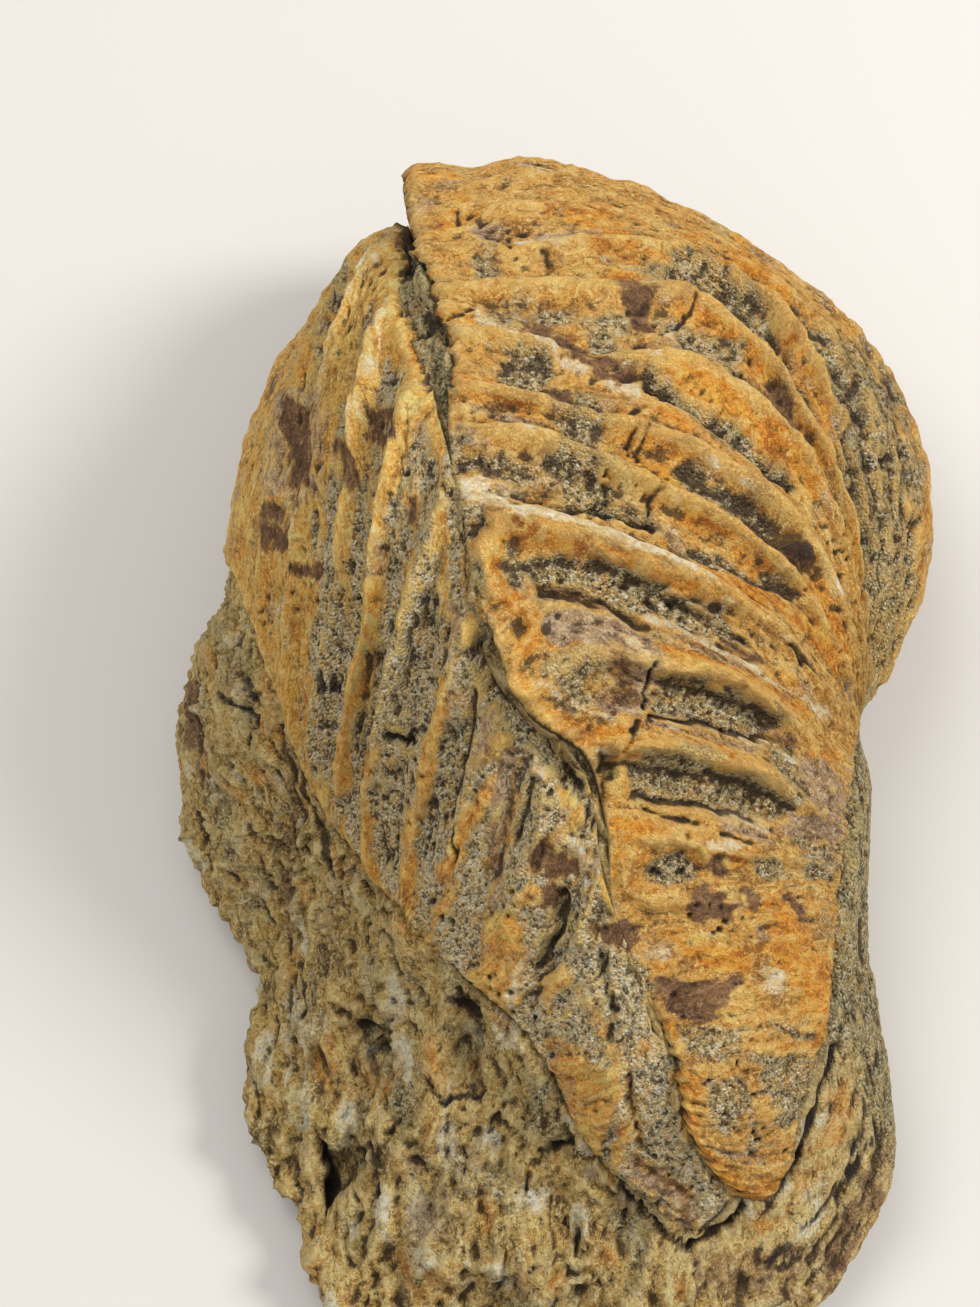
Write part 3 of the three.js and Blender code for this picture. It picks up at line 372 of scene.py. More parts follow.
     (862, 560), (850, 470), (822, 390)),
    ("furrow", 5, (838, 330), (862, 390), (878, 450), (880, 520), (868, 590)),
    ("furrow", 4, (862, 330), (886, 400), (896, 470), (892, 540)),
    ("furrow", 4, (884, 360), (906, 430), (912, 500), (900, 560)),
    ("furrow", 5, (842, 400), (858, 470), (864, 540)),
    ("rust", 5, (826, 390), (848, 460), (856, 540), (858, 600)),
    ("sand", AREA, (846, 780), (872, 790), (868, 930), (842, 925)),
    ("lavender", AREA, (753, 923), (782, 926), (780, 942), (756, 940)),
    # the left valve
    ("groove", 4, (336, 296), (321, 340), (307, 385), (294, 430), (290, 462)),
    ("cream", 2.5, (345, 292), (330, 332), (318, 372), (305, 412), (300, 450)),
    ("crest", 4, (363, 350), (358, 380), (355, 420)),
    ("cream", 1.5, (396, 226), (358, 284), (328, 356), (308, 440), (297, 530)),
    ("cream", 1.5, (392, 294), (372, 358), (357, 414), (351, 480)),
    ("crest", 6, (372, 276), (340, 352), (322, 430), (314, 500)),
    ("sand", AREA, (335, 260), (350, 262), (348, 301), (333, 300)),
    ("lavender", AREA, (315, 310), (330, 312), (328, 341), (312, 338)),
    ("crack", 2, (357, 372), (356, 388)), ("crack", 2, (345, 400), (345, 414)),
    ("lavender", AREA, (272, 385), (325, 390), (326, 480), (300, 512), (266, 500)),
    ("plum", AREA, (284, 398), (312, 404), (317, 470), (298, 497), (280, 474)),
    ("plum", AREA, (362, 404), (397, 401), (398, 441), (380, 448), (363, 436)),
    ("plum", AREA, (262, 500), (286, 502), (290, 556), (266, 552)),
    ("plum", AREA, (330, 440), (352, 436), (358, 486), (340, 500)),
    ("plum", AREA, (287, 560), (318, 562), (319, 579), (290, 577)),
    ("plum", AREA, (400, 490), (421, 492), (419, 526), (402, 523)),
    ("plum", AREA, (385, 550), (400, 552), (399, 576), (385, 573)),
    ("sand", 4, (372, 418), (388, 430)),
    ("cream", 1.5, (270, 485), (285, 495), (300, 490)), ("cream", 1.5, (285, 500), (295, 520)),
    ("cream", 1.5, (262, 521), (290, 525), (290, 560)),
    ("crack", 1.5, (300, 600), (365, 600)),
    # the left valve's lower part, where sand hides most of the shell
    ("sand", 9, (366, 520), (364, 570), (360, 620)),
    ("sand", 8, (392, 500), (390, 560), (388, 630)),
    ("sand", 11, (425, 470), (424, 540), (422, 620)),
    ("sand", 9, (452, 440), (454, 520), (456, 610)),
    ("sand", 9, (474, 560), (482, 610), (492, 650)),
    ("sand", 7, (336, 560), (334, 620), (330, 680)),
    ("sand", AREA, (300, 700), (318, 650), (342, 640), (352, 610), (372, 650), (388, 590),
     (402, 640), (424, 580), (438, 640), (456, 580), (470, 640), (486, 620), (502, 680),
     (545, 735), (592, 760), (598, 840), (602, 905), (640, 950), (655, 1012),
     (675, 1060), (684, 1120), (700, 1165), (745, 1205), (720, 1240), (690, 1250),
     (640, 1215), (590, 1165), (556, 1105), (524, 1045), (500, 1020), (455, 985), (430, 950),
     (395, 905), (360, 870), (335, 820), (310, 760)),
    ("hollow", AREA, (424, 588), (440, 620), (444, 660), (434, 700), (425, 740), (404, 748),
     (396, 700), (402, 630)),
    ("hollow", AREA, (362, 652), (376, 650), (374, 700), (366, 770), (350, 800), (352, 730)),
    ("hollow", AREA, (380, 770), (402, 762), (398, 820), (392, 872), (378, 868)),
    ("hollow", AREA, (444, 730), (460, 720), (452, 790), (436, 830), (424, 870), (420, 830)),
    ("pit", 5, (322, 676), (326, 690)), ("pit", 6, (474, 662)), ("pit", 3, (393, 742), (408, 748)),
    ("crack", 3, (387, 737), (400, 748), (408, 738)),
    ("lavender", 7, (450, 610), (451, 650), (446, 690), (440, 730)),
    ("lavender", 9, (488, 640), (490, 700), (480, 760)),
    ("lavender", 10, (500, 800), (496, 850), (494, 900)),
    ("ochre", AREA, (548, 745), (590, 765), (594, 820), (572, 830), (556, 790)),
    ("rust crest", AREA, (462, 622), (478, 614), (490, 630), (499, 646), (490, 664), (468, 652)),
    ("strip", 7, (372, 585), (369, 625), (361, 652), (355, 692), (348, 715), (342, 745),
     (339, 790)),
    ("strip", 7, (368, 752), (364, 780), (361, 812), (366, 850), (372, 905)),
    ("strip", 7, (440, 682), (436, 722), (429, 748), (424, 776), (420, 802)),
    ("strip", 9, (413, 815), (408, 835), (406, 870), (404, 915)),
    ("strip", 8, (487, 785), (478, 806), (463, 830), (456, 850), (442, 872)),
    ("crack", 1.5, (454, 828), (452, 860)),
    ("rust crest", AREA, (440, 880), (458, 884), (455, 906), (436, 928), (421, 946), (428, 924)),
    ("strip", 7, (306, 680), (304, 712), (300, 742)),
    ("rust", AREA, (363, 876), (382, 880), (380, 904), (364, 900)),
    ("rust crest", AREA, (489, 733), (512, 740), (508, 768), (492, 764)),
    ("cream", AREA, (516, 732), (545, 738), (557, 770), (545, 786), (528, 764)),
    ("rust crest", AREA, (514, 890), (530, 882), (543, 893), (538, 904), (518, 906)),
    ("rust crest", AREA, (478, 916), (505, 904), (531, 926), (529, 946), (521, 958), (517, 1004),
     (502, 1014), (480, 1000), (462, 986), (480, 958)),
    ("cream", 4, (522, 962), (514, 985), (508, 1010)),
    ("rust crest", AREA, (528, 1004), (544, 975), (560, 962), (578, 968), (572, 986), (545, 1006)),
    ("plum", AREA, (538, 842), (576, 858), (589, 877), (545, 883), (527, 868)),
    ("plum", AREA, (540, 889), (554, 887), (557, 916), (543, 906)),
    ("plum", AREA, (590, 930), (622, 918), (642, 926), (634, 958), (601, 951)),
    ("cream", 5, (570, 838), (583, 852), (596, 872)),
    ("pit", 6, (608, 1028), (611, 1042)),
    ("hollow", AREA, (468, 626), (478, 640), (498, 690), (520, 718), (562, 752), (590, 792),
     (594, 826), (576, 800), (546, 770), (508, 736), (486, 704), (470, 664)),
    ("shadow", 4, (478, 648), (496, 694), (520, 724), (560, 756), (582, 786)),
    ("dip", 8, (520, 760), (508, 820), (488, 880)), ("dip", 7, (560, 900), (548, 960), (530, 1000)),
    ("lump", 9, (548, 800), (530, 860), (512, 900)), ("lump", 8, (590, 890), (580, 940)),
    ("groove", 4, (468, 700), (462, 760), (446, 820)), ("groove", 4, (530, 780), (516, 840)),
    ("groove", 5, (560, 900), (552, 940), (536, 970)), ("groove", 4, (600, 960), (612, 1010)),
    ("rust", 5, (470, 690), (462, 740)), ("rust", 4, (516, 800), (500, 860)),
    ("rust", 6, (580, 990), (600, 1030), (616, 1060)), ("rust", 5, (560, 830), (548, 846)),
    ("taupe", 6, (504, 760), (500, 790)),
    ("rust", AREA, (540, 1045), (560, 1036), (582, 1048), (576, 1062), (548, 1066)),
    # the beaks
    ("rust crest", AREA, (548, 1062), (564, 1060), (590, 1058), (615, 1068), (624, 1096),
     (613, 1126), (602, 1152), (588, 1158), (572, 1128), (558, 1098)),
    ("rust crest", 6, (622, 1128), (614, 1172)),
    ("plum", 4, (628, 1078), (630, 1110)), ("plum", 3.5, (634, 1130), (636, 1152)),
    ("sand", AREA, (626, 1076), (662, 1060), (680, 1110), (692, 1160), (706, 1196), (660, 1190),
     (632, 1150)),
    ("plum", 3, (626, 1076), (631, 1100), (630, 1120)), ("plum", 3, (634, 1128), (640, 1150)),
    ("taupe", AREA, (628, 1160), (652, 1168), (680, 1186), (702, 1204), (698, 1226), (684, 1238),
     (656, 1210), (630, 1184)),
    ("plum", 4, (640, 1170), (664, 1184), (690, 1200)), ("plum", 3, (660, 1206), (684, 1220)),
    ("sand", AREA, (650, 1196), (670, 1200), (676, 1218), (660, 1212)),
    ("rust", AREA, (632, 1034), (655, 1044), (651, 1061), (634, 1056)),
    ("groove", 3, (648, 1010), (665, 1038), (674, 1062), (680, 1110), (694, 1152), (724, 1190)),
    ("cream", 2.5, (646, 1016), (660, 1037), (671, 1058)),
    ("rust crest", 6, (655, 1004), (669, 1020), (680, 1048)),
    ("rust crest", 7, (678, 1080), (684, 1112), (700, 1150), (730, 1182), (762, 1196)),
    ("sand", AREA, (684, 1024), (744, 1026), (750, 1050), (700, 1066), (684, 1052)),
    ("sand", AREA, (756, 1050), (800, 1050), (822, 1064), (812, 1120), (786, 1132), (766, 1100)),
    ("sand", AREA, (700, 1080), (742, 1074), (752, 1112), (728, 1140), (704, 1120)),
    ("crest", AREA, (680, 1062), (704, 1060), (708, 1092), (688, 1098)),
    ("sand", 5, (772, 1022), (812, 1036)), ("sand", 5, (740, 1080), (756, 1130), (750, 1160)),
    ("rust", AREA, (676, 1068), (706, 1072), (712, 1110), (684, 1104)),
    ("rust crest", AREA, (762, 902), (790, 905), (808, 932), (832, 962), (836, 1010), (826, 1040),
     (804, 1020), (786, 985), (768, 948)),
    ("cream", AREA, (764, 958), (788, 972), (782, 1002), (760, 986)),
    ("pit", 2, (740, 1062)), ("pit", 2, (712, 1080)), ("pit", 2, (756, 1096)),
    # the broken opening between the valves
    ("shadow", AREA, (600, 752), (615, 755), (619, 775), (606, 786), (603, 825), (597, 790)),
    ("pit", 4, (603, 845)),
]

# Marks on the sandstone.
ROCK_MARKS = [
    ("plum", AREA, (178, 680), (192, 678), (194, 750), (182, 752)),
    ("crack", 2.5, (228, 698), (258, 715), (252, 742)),
    ("crack", 3, (295, 775), (302, 800), (312, 810), (318, 830), (328, 850), (330, 875)),
    ("plum", 4, (285, 745), (288, 800), (284, 870), (288, 940)),
    ("pit", 5, (242, 678), (258, 698)), ("pit", 5, (270, 840), (274, 850)),
    ("shadow", 7, (458, 992), (464, 1005), (474, 1012), (479, 1050), (476, 1092)),
    ("shadow", AREA, (452, 998), (476, 1002), (478, 1022), (456, 1018)),
    ("pit", 4, (446, 1100), (455, 1101)),
    ("rust crest", AREA, (423, 1040), (435, 1043), (448, 1080), (446, 1094), (434, 1086),
     (419, 1062)),
    ("shadow", AREA, (360, 1022), (392, 1018), (396, 1056), (366, 1062)),
    ("plum", AREA, (368, 1060), (386, 1060), (385, 1082), (369, 1080)),
    ("shadow", AREA, (322, 1146), (362, 1142), (368, 1150), (352, 1190), (326, 1206)),
    ("crevice", 3, (322, 1146), (330, 1172), (326, 1204)),
    ("cream", AREA, (410, 1230), (432, 1222), (440, 1262), (420, 1280)),
    ("lavender", AREA, (404, 1200), (436, 1190), (446, 1224), (424, 1244), (404, 1240)),
    ("crack", 2.5, (430, 1080), (444, 1104), (458, 1100), (472, 1096)),
    ("crack", 2.5, (380, 1130), (372, 1150), (382, 1172), (376, 1196)),
    ("crack", 2, (300, 960), (306, 990), (300, 1020)), ("crack", 2, (336, 1000), (350, 1020)),
    ("crack", 2, (540, 1152), (560, 1148), (574, 1140)), ("crack", 2, (530, 1170), (526, 1200)),
    ("crack", 3, (608, 1150), (622, 1190), (640, 1214), (664, 1234), (690, 1250)),
    ("crack", 2, (395, 1120), (380, 1160), (375, 1176)), ("crack", 2, (358, 1195), (365, 1220)),
    ("crack", 2, (370, 1225), (362, 1260)), ("crack", 2, (577, 1225), (578, 1260)),
    ("crack", 2, (550, 1150), (575, 1151)),
    ("cream", 4, (289, 1005), (287, 1085)),
    ("rust", AREA, (314, 1048), (326, 1050), (325, 1082), (314, 1080)),
    ("rust", 4, (318, 1200), (315, 1250), (318, 1300)),
    ("lavender", AREA, (420, 1195), (450, 1196), (450, 1241), (421, 1240)),
    ("lavender", AREA, (580, 1160), (596, 1162), (594, 1186), (581, 1184)),
    ("lavender", AREA, (615, 1190), (641, 1192), (640, 1216), (616, 1214)),
    ("crack", 2.5, (615, 1188), (632, 1204), (650, 1216)),
    ("cream", 3, (600, 1246), (612, 1244)),
    ("groove", 3, (860, 1160), (840, 1196)), ("groove", 3, (850, 1220), (828, 1251)),
    ("groove", 3, (760, 1266), (800, 1250)), ("groove", 3, (740, 1286), (790, 1275)),
    ("rust", AREA, (830, 1090), (861, 1092), (860, 1141), (832, 1140)),
    ("band", AREA, (690, 1252), (860, 1240), (850, 1302), (690, 1304)),
    ("lavender", AREA, (634, 1284), (646, 1286), (645, 1296), (634, 1295)),
    ("crevice", 3, (838, 1046), (828, 1080), (814, 1120), (800, 1160), (784, 1190), (770, 1208)),
    ("crevice", 3, (744, 1208), (722, 1230), (706, 1240), (690, 1246)),
    ("rust", 7, (850, 1060), (842, 1120), (824, 1162), (798, 1200), (760, 1232)),
    ("crack", 2, (868, 1080), (862, 1130), (846, 1176), (826, 1206), (800, 1232)),
    ("crack", 3, (876, 1130), (852, 1180), (841, 1204), (829, 1232), (810, 1254), (776, 1270)),
    ("crack", 2, (842, 1204), (856, 1210)), ("crack", 3, (760, 1262), (776, 1256), (792, 1246)),
    ("crack", 2.5, (872, 1178), (856, 1214), (838, 1242), (812, 1266)),
    ("plum", AREA, (868, 1172), (884, 1150), (882, 1200), (860, 1240), (838, 1270), (822, 1276)),
    ("groove", 2, (884, 1120), (878, 1170), (862, 1220), (840, 1258), (806, 1284)),
    ("shadow", 5, (402, 240), (412, 275)), ("shadow", 5, (441, 310), (444, 340)),
]

# ------------------------------------------------------------------ small helpers


def smooth(value, low, high):
    """0 up to low, 1 from high on, and an easy rise between them; or the other way round."""
    share = np.clip((value - low) / (high - low), 0, 1)
    return share * share * (3 - 2 * share)


def lerp(a, b, share):
    return a + (b - a) * share


def unit(vectors):
    return vectors / np.maximum(np.linalg.norm(vectors, axis=-1, keepdims=True), 1e-9)


def spline(points, t, closed=False):
    """The centripetal Catmull-Rom curve through the points, at t from 0 to 1."""
    points = np.asarray(points, float)
    count = len(points)
    spans = count if closed else count - 1
    at = np.clip(np.asarray(t, float), 0, 1) * spans
    first = np.minimum(at.astype(int), spans - 1)
    share = (at - first).reshape(at.shape + (1,) * (points.ndim - 1))
    if closed:
        p0, p1, p2, p3 = (points[(first + k) % count] for k in (-1, 0, 1, 2))
    else:
        ends = [2 * points[:1] - points[1:2], points, 2 * points[-1:] - points[-2:-1]]
        padded = np.concatenate(ends)
        p0, p1, p2, p3 = (padded[first + k] for k in range(4))
    step0, step1, step2 = (
        np.maximum(np.linalg.norm(b - a, axis=-1, keepdims=True), 1e-6) ** 0.5
        for a, b in ((p0, p1), (p1, p2), (p2, p3))
    )
    leave = ((p1 - p0) / step0 - (p2 - p0) / (step0 + step1)) * step1 + (p2 - p1)
    arrive = ((p3 - p2) / step2 - (p3 - p1) / (step1 + step2)) * step1 + (p2 - p1)
    square = 3 * (p2 - p1) - 2 * leave - arrive
    cube = 2 * (p1 - p2) + leave + arrive
    return p1 + share * (leave + share * (square + share * cube))


def evenly(points, count):
    """The polyline through the points, read at count places evenly along its length."""
    steps = np.linalg.norm(np.diff(points, axis=0), axis=1)
    travelled = np.concatenate([[0], np.cumsum(steps)])
    at = np.linspace(0, travelled[-1], count)
    return np.stack([np.interp(at, travelled, column) for column in points.T], axis=-1)


def lattice_hash(cells, seed):
    """A number from 0 to 2**32 for each whole-numbered point of space."""
    x, y, z = (cells[..., k].astype(np.int64) & 0xFFFFFFFF for k in range(3))
    mixed = (x * 374761393 + y * 668265263 + z * 1440662683 + seed * 1274126177) & 0xFFFFFFFF
    mixed = ((mixed ^ (mixed >> 13)) * 1274126177) & 0xFFFFFFFF
    mixed = ((mixed ^ (mixed >> 15)) * 461845907) & 0xFFFFFFFF
    return mixed ^ (mixed >> 16)


def noise(points, size, seed=0):
    """Smooth noise, about -1 to 1, whose bumps are about size across."""
    scaled = points / size
    cell = np.floor(scaled)
    inside = scaled - cell
    ease = inside ** 3 * (inside * (inside * 6 - 15) + 10)
    total = np.zeros(points.shape[:-1])
    for corner in itertools.product((0, 1), repeat=3):
        code = lattice_hash(cell + corner, seed)
        slopes = [((code >> shift) & 1023) / 511.5 - 1 for shift in (0, 10, 20)]
        away = inside - corner
        dot = sum(slopes[k] * away[..., k] for k in range(3))
        weight = np.prod([ease[..., k] if corner[k] else 1 - ease[..., k] for k in range(3)], 0)
        total += weight * dot
    return total * 1.6


def speckle(points, size, seed=0):
    """A random number from -1 to 1 for each small cube of space."""
    return lattice_hash(np.floor(points / size), seed) / 2 ** 31 - 1


def pebbles(points, size, seed=0):
    """Scattered stones: the distance to the nearest, about 0 to 1, and that stone's number."""
    scaled = points / size
    cell = np.floor(scaled)
    nearest = np.full(points.shape[:-1], 9.0)
    number = np.zeros(points.shape[:-1])
    for offset in itertools.product((-1, 0, 1), repeat=3):
        code = lattice_hash(cell + offset, seed)
        middle = np.stack([((code >> shift) & 1023) / 1023 for shift in (0, 10, 20)], -1)
        square = np.sum((cell + offset + middle - scaled) ** 2, -1)
        closer = square < nearest
        nearest = np.where(closer, square, nearest)
        number = np.where(closer, (code >> 7 & 1023) / 511.5 - 1, number)
    return np.sqrt(nearest), number


def crumbs(points, size, seed=0):
    """Broken, crumbly relief: stones of different heights with sharp creases between them."""
    distance, number = pebbles(points, size, seed)
    return 0.9 * (0.5 - distance) + 0.55 * number


# ------------------------------------------------------------------ the body's smooth surface


def place(x, y, c):
    """A plan point at height c, in the fossil's own frame, in millimetres."""
    narrow = 1 - c / PLAN_TAPER
    across = y * narrow
    sine, cosine = math.sin(PLAN_TILT), math.cos(PLAN_TILT)
    return np.stack([
        x * narrow + PLAN_SHIFT[0],
        across * cosine - c * sine + PLAN_SHIFT[1],
        across * sine + c * cosine + PLAN_LIFT,
    ], axis=-1)


def height_for(y, ground):
    """The height c at which a plan point stands a given height above the ground."""
    sine = math.sin(PLAN_TILT)
    return (ground - PLAN_LIFT - y * sine) / (math.cos(PLAN_TILT) - y * sine / PLAN_TAPER)


def rim_table():
    """Bearing, radius and height c round the rim, seen from the body's centre."""
    corners = [(x, y, height_for(y, ground)) for x, y, ground in OUTLINE]
    x, y, c = spline(corners, np.linspace(0, 1, len(OUTLINE) * 16 + 1)[:-1], closed=True).T
    x, y = x - BODY_CENTRE[0], y - BODY_CENTRE[1]
    bearing = np.arctan2(y, x)
    order = np.argsort(bearing)
    return bearing[order], np.hypot(x, y)[order], c[order]


RIM_TABLE = rim_table()
CREST_TABLE = spline(CREST[::-1], np.linspace(0, 1, len(CREST) * 12))


def rim_at(bearing):
    """Plan x, y, height c and radius of the rim at a bearing."""
    table_bearing, table_radius, table_c = RIM_TABLE
    radius = np.interp(bearing, table_bearing, table_radius, period=2 * math.pi)
    c = np.interp(bearing, table_bearing, table_c, period=2 * math.pi)
    x = BODY_CENTRE[0] + radius * np.cos(bearing)
    y = BODY_CENTRE[1] + radius * np.sin(bearing)
    return x, y, c, radius


def forms(x, y, shapes):
    """Summed height of rounded forms, each given as x, y, radii and height."""
    return sum(
        height * np.exp(-(((x - fx) / rx) ** 2) - ((y - fy) / ry) ** 2)
        for fx, fy, rx, ry, height in shapes
    )


def crown(x, y):
    """Height c of the crown, which falls away on both sides of its crest."""
    crest_y, crest_x, crest_c = CREST_TABLE.T
    aside = x - np.interp(y, crest_y, crest_x)
    straight = np.where(aside > 0, RIGHT_SLOPE[0], LEFT_SLOPE[0])
    curved = np.where(aside > 0, RIGHT_SLOPE[1], LEFT_SLOPE[1])
    rounded = np.hypot(aside, CREST_ROUNDING) - CREST_ROUNDING
    top = np.interp(y, crest_y, crest_c)
    return top - straight * rounded - curved * aside ** 2 + forms(x, y, SWELLINGS)


def surface(x, y):
    """Height c of the smooth surface: the crown, turned over at the rim.

    Where the crown would sink below the rim, the surface stays a little above the rim.
    """
    dx, dy = x - BODY_CENTRE[0], y - BODY_CENTRE[1]
    _, _, rim_c, radius = rim_at(np.arctan2(dy, dx))
    out = np.minimum(1, np.hypot(dx, dy) / radius)
    above = (crown(x, y) - rim_c - LEAST_RISE) / RISE_SOFTNESS
    rise = LEAST_RISE + RISE_SOFTNESS * np.logaddexp(0, above)
    return rim_c + rise * np.sqrt(1 - out ** 4)


def on_surface(x, y):
    """The point of the smooth surface over a plan point."""
    return place(x, y, surface(x, y))


def surface_normal(x, y, reach=0.4):
    across = on_surface(x + reach, y) - on_surface(x - reach, y)
    along = on_surface(x, y + reach) - on_surface(x, y - reach)
    return unit(np.cross(across, along))


def skirt(rim, t):
    """The body's side below a point of the rim, t = 0 at the rim and 1 on the ground."""
    x, y, c, _ = rim
    top = place(x, y, c)
    sightline = place(x, y, c - 1) - top
    height = top[..., 2:]
    turn = top + sightline * (SKIRT_TURN * height / -sightline[..., 2:])
    foot = top * (BASE_INSET, BASE_INSET, 0)
    t = np.asarray(t)[..., None]
    return (1 - t) ** 2 * top + 2 * t * (1 - t) * turn + t ** 2 * foot


def towards_core(points):
    """The direction from a point of the surface to the middle of the body."""
    y = points[..., 1]
    core = np.stack([0.25 * points[..., 0], 0.72 * y, 4 + 0.12 * (y + 60)], axis=-1)
    return unit(core - points)


def sheet_points(x, y):
    """Places on the drawing sheet of plan points."""
    return np.stack([SHEET_ORIGIN[0] + TENTHS * x, SHEET_ORIGIN[1] - TENTHS * y], axis=-1)


def below_rim(rim, points):
    """Sheet places of skirt points, unrolled outwards from the rim."""
    x, y, _, _ = rim
    outward = unit(np.stack([x - BODY_CENTRE[0], y - BODY_CENTRE[1]], axis=-1))
    steps = np.linalg.norm(np.diff(points, axis=0), axis=-1)
    fallen = np.concatenate([np.zeros((1,) + steps.shape[1:]), np.cumsum(steps, axis=0)])
    return sheet_points(x + outward[..., 0] * fallen, y + outward[..., 1] * fallen)


# ------------------------------------------------------------------ marks


def line_distance(points, corners):
    """Distance from points to a polyline, all on the sheet."""
    corners = np.asarray(corners, float)
    starts, ends = corners[:-1], corners[1:]
    if len(corners) == 1:
        return np.linalg.norm(points - corners[0], axis=-1)
    nearest = np.full(len(points), np.inf)
    for start, end in zip(starts, ends):
        run = end - start
        t = np.clip((points - start) @ run / max(run @ run, 1e-9), 0, 1)
        nearest = np.minimum(nearest, np.linalg.norm(points - start - t[:, None] * run, axis=1))
    return nearest


def area_depth(points, corners):
    """Distance from points to the edge of a patch, above zero inside it."""
    corners = np.asarray(corners, float)
    ring = np.concatenate([corners, corners[:1]])
    x, y = points.T
    inside = np.zeros(len(points), bool)
    for (ax, ay), (bx, by) in zip(ring[:-1], ring[1:]):
        if ay != by:
            inside ^= ((ay > y) != (by > y)) & (x < ax + (y - ay) * (bx - ax) / (by - ay))
    distance = line_distance(points, ring)
    return np.where(inside, distance, -distance)


# the dark coat is grime, and painted shade in cracks, crevices, pits and gaps
COATS = ("sand", "plum", "cream", "lavender", "rust", "dark")
WANDER = ((2.6, 7), (0.9, 8))  # how edges wander: size in mm, reach in tenths of a mm
SWAY = ((2.4, 5), (1, 4))  # how whole marks sway, likewise
SWAY_SEEDS = (100, 200)
CALM_SOFTNESS = 6  # a mark with a sharper edge than this wanders less
AREA_REACH = 30  # a patch's mark ends within this many tenths of a mm of its corners
CALM_BREADTH = 60  # a patch narrower than this wanders less


class Coat:
    """Height and finishes over the points of one piece."""

    def __init__(self, points, lie, sheet, seed):
        self.points = points
        self.height = np.zeros(len(points))
        self.shares = {name: np.zeros(len(points)) for name in COATS}
        self.wander = self.straying(lie, WANDER, seed)
        sway = [self.straying(lie, SWAY, seed + more) for more in SWAY_SEEDS]
        self.sheet = sheet + np.stack(sway, axis=-1)

    @staticmethod
    def straying(lie, sizes, seed):
        """Noise of several sizes, added up, in tenths of a mm."""
        return sum(noise(lie, size, seed + k) * reach for k, (size, reach) in enumerate(sizes))

    def cover(self, finish, share):
        """Lays a finish over those already there; the dark coat, grime and painted shade, leaves
        what is under it.
        """
        for name in self.shares:
            if finish != "dark" or name == "dark":
                self.shares[name] *= 1 - share
        if finish in self.shares:
            self.shares[finish] += share

    def mark(self, kind, width, corners):
        """Lays one mark: its height and, unless it is only a form, its finish."""
        finish, strength, height, softness = MARK_KINDS[kind]
        corners = np.asarray(corners, float)
        reach = AREA_REACH if width == AREA else width * 2.5 + 15
        low, high = corners.min(0) - reach, corners.max(0) + reach
        near = np.flatnonzero(np.all((self.sheet > low) & (self.sheet < high), axis=1))
        if not len(near):
            return
        points, wander = self.sheet[near], self.wander[near] * min(1, softness / CALM_SOFTNESS)
        if width == AREA:
            breadth = np.ptp(corners, axis=0).min()
            depth = area_depth(points, corners) + wander * min(1, breadth / CALM_BREADTH)
            raised = smooth(depth, -softness, softness + 4)
        else:
            distance = np.maximum(line_distance(points, corners) + wander * min(0.5, width / 16), 0)
            depth = width - distance
            raised = np.exp(-(distance / (width * 1.1)) ** 2)
        self.height[near] += height * raised
        if strength:
            share = np.zeros(len(self.points))
            share[near] = strength * smooth(depth, -softness, softness)
            self.cover(finish, share)

    def marks(self, entries):
        for kind, width, *corners in entries:
            self.mark(kind, width, corners)


# ------------------------------------------------------------------ meshes

FINE_REACH, WIDE_REACH = 2, 8  # cells over which hollows and knobs are told apart
SEAM = 2e-6  # metres within which points are merged


def grid_object(name, positions):
    """A piece whose faces join rows and columns of points, given in millimetres."""
    rows, columns = positions.shape[:2]
    bpy.ops.object.select_all(action="DESELECT")
    bpy.ops.mesh.primitive_grid_add(
        x_subdivisions=columns - 1, y_subdivisions=rows - 1, size=1, location=(0, 0, 0),
    )
    piece = bpy.context.object
    piece.name = piece.data.name = name
    piece.data.vertices.foreach_set("co", (positions * MM).astype(np.float32).ravel())
    return piece


def mean_around(values, reach):
    """The mean over a square of a grid, reach cells out from each cell."""
    for axis in (0, 1):
        shifted = [np.roll(values, k, axis) for k in range(-reach, reach + 1)]
        values = sum(shifted) / len(shifted)
    return values


def cavity(height, fine_span, wide_span):
    """0 in hollows of a grid of heights, 1 on its knobs and crests and 0.5 on level ground: the
    share from which shade is painted into hollows and highlight onto crests.
    """
    fine = (height - mean_around(height, FINE_REACH)) / fine_span
    wide = (height - mean_around(height, WIDE_REACH)) / wide_span
    return np.clip(0.5 + fine + wide, 0, 1)


def set_share(mesh, name, values):
    """Stores a finish's share, or the relief share for painted shade and highlight, for the
    material to read.
    """
    attribute = mesh.attributes.new(name, "FLOAT", "POINT")
    attribute.data.foreach_set("value", np.clip(values, 0, 1).astype(np.float32).ravel())


def set_lie(mesh, places):
    """Stores the places, in millimetres, that the finish's streaks and blotches are laid by."""
    attribute = mesh.attributes.new("lie", "FLOAT_VECTOR", "POINT")
    attribute.data.foreach_set("vector", (places * MM).astype(np.float32).ravel())


def close_up(piece, fill):
    """Merges the seams, fills the open ends and makes the piece smooth."""
    bpy.ops.object.mode_set(mode="EDIT")
    bpy.ops.mesh.select_all(action="SELECT")
    bpy.ops.mesh.remove_doubles(threshold=SEAM)
    if fill:
        bpy.ops.mesh.select_all(action="SELECT")
        bpy.ops.mesh.fill_holes(sides=0)
        bpy.ops.mesh.select_all(action="DESELECT")
        bpy.ops.mesh.select_face_by_sides(number=4, type="GREATER")
        bpy.ops.mesh.quads_convert_to_tris(quad_method="BEAUTY", ngon_method="BEAUTY")
    bpy.ops.mesh.select_all(action="DESELECT")
    bpy.ops.object.mode_set(mode="OBJECT")
    bpy.ops.object.shade_smooth()


# ------------------------------------------------------------------ the valves

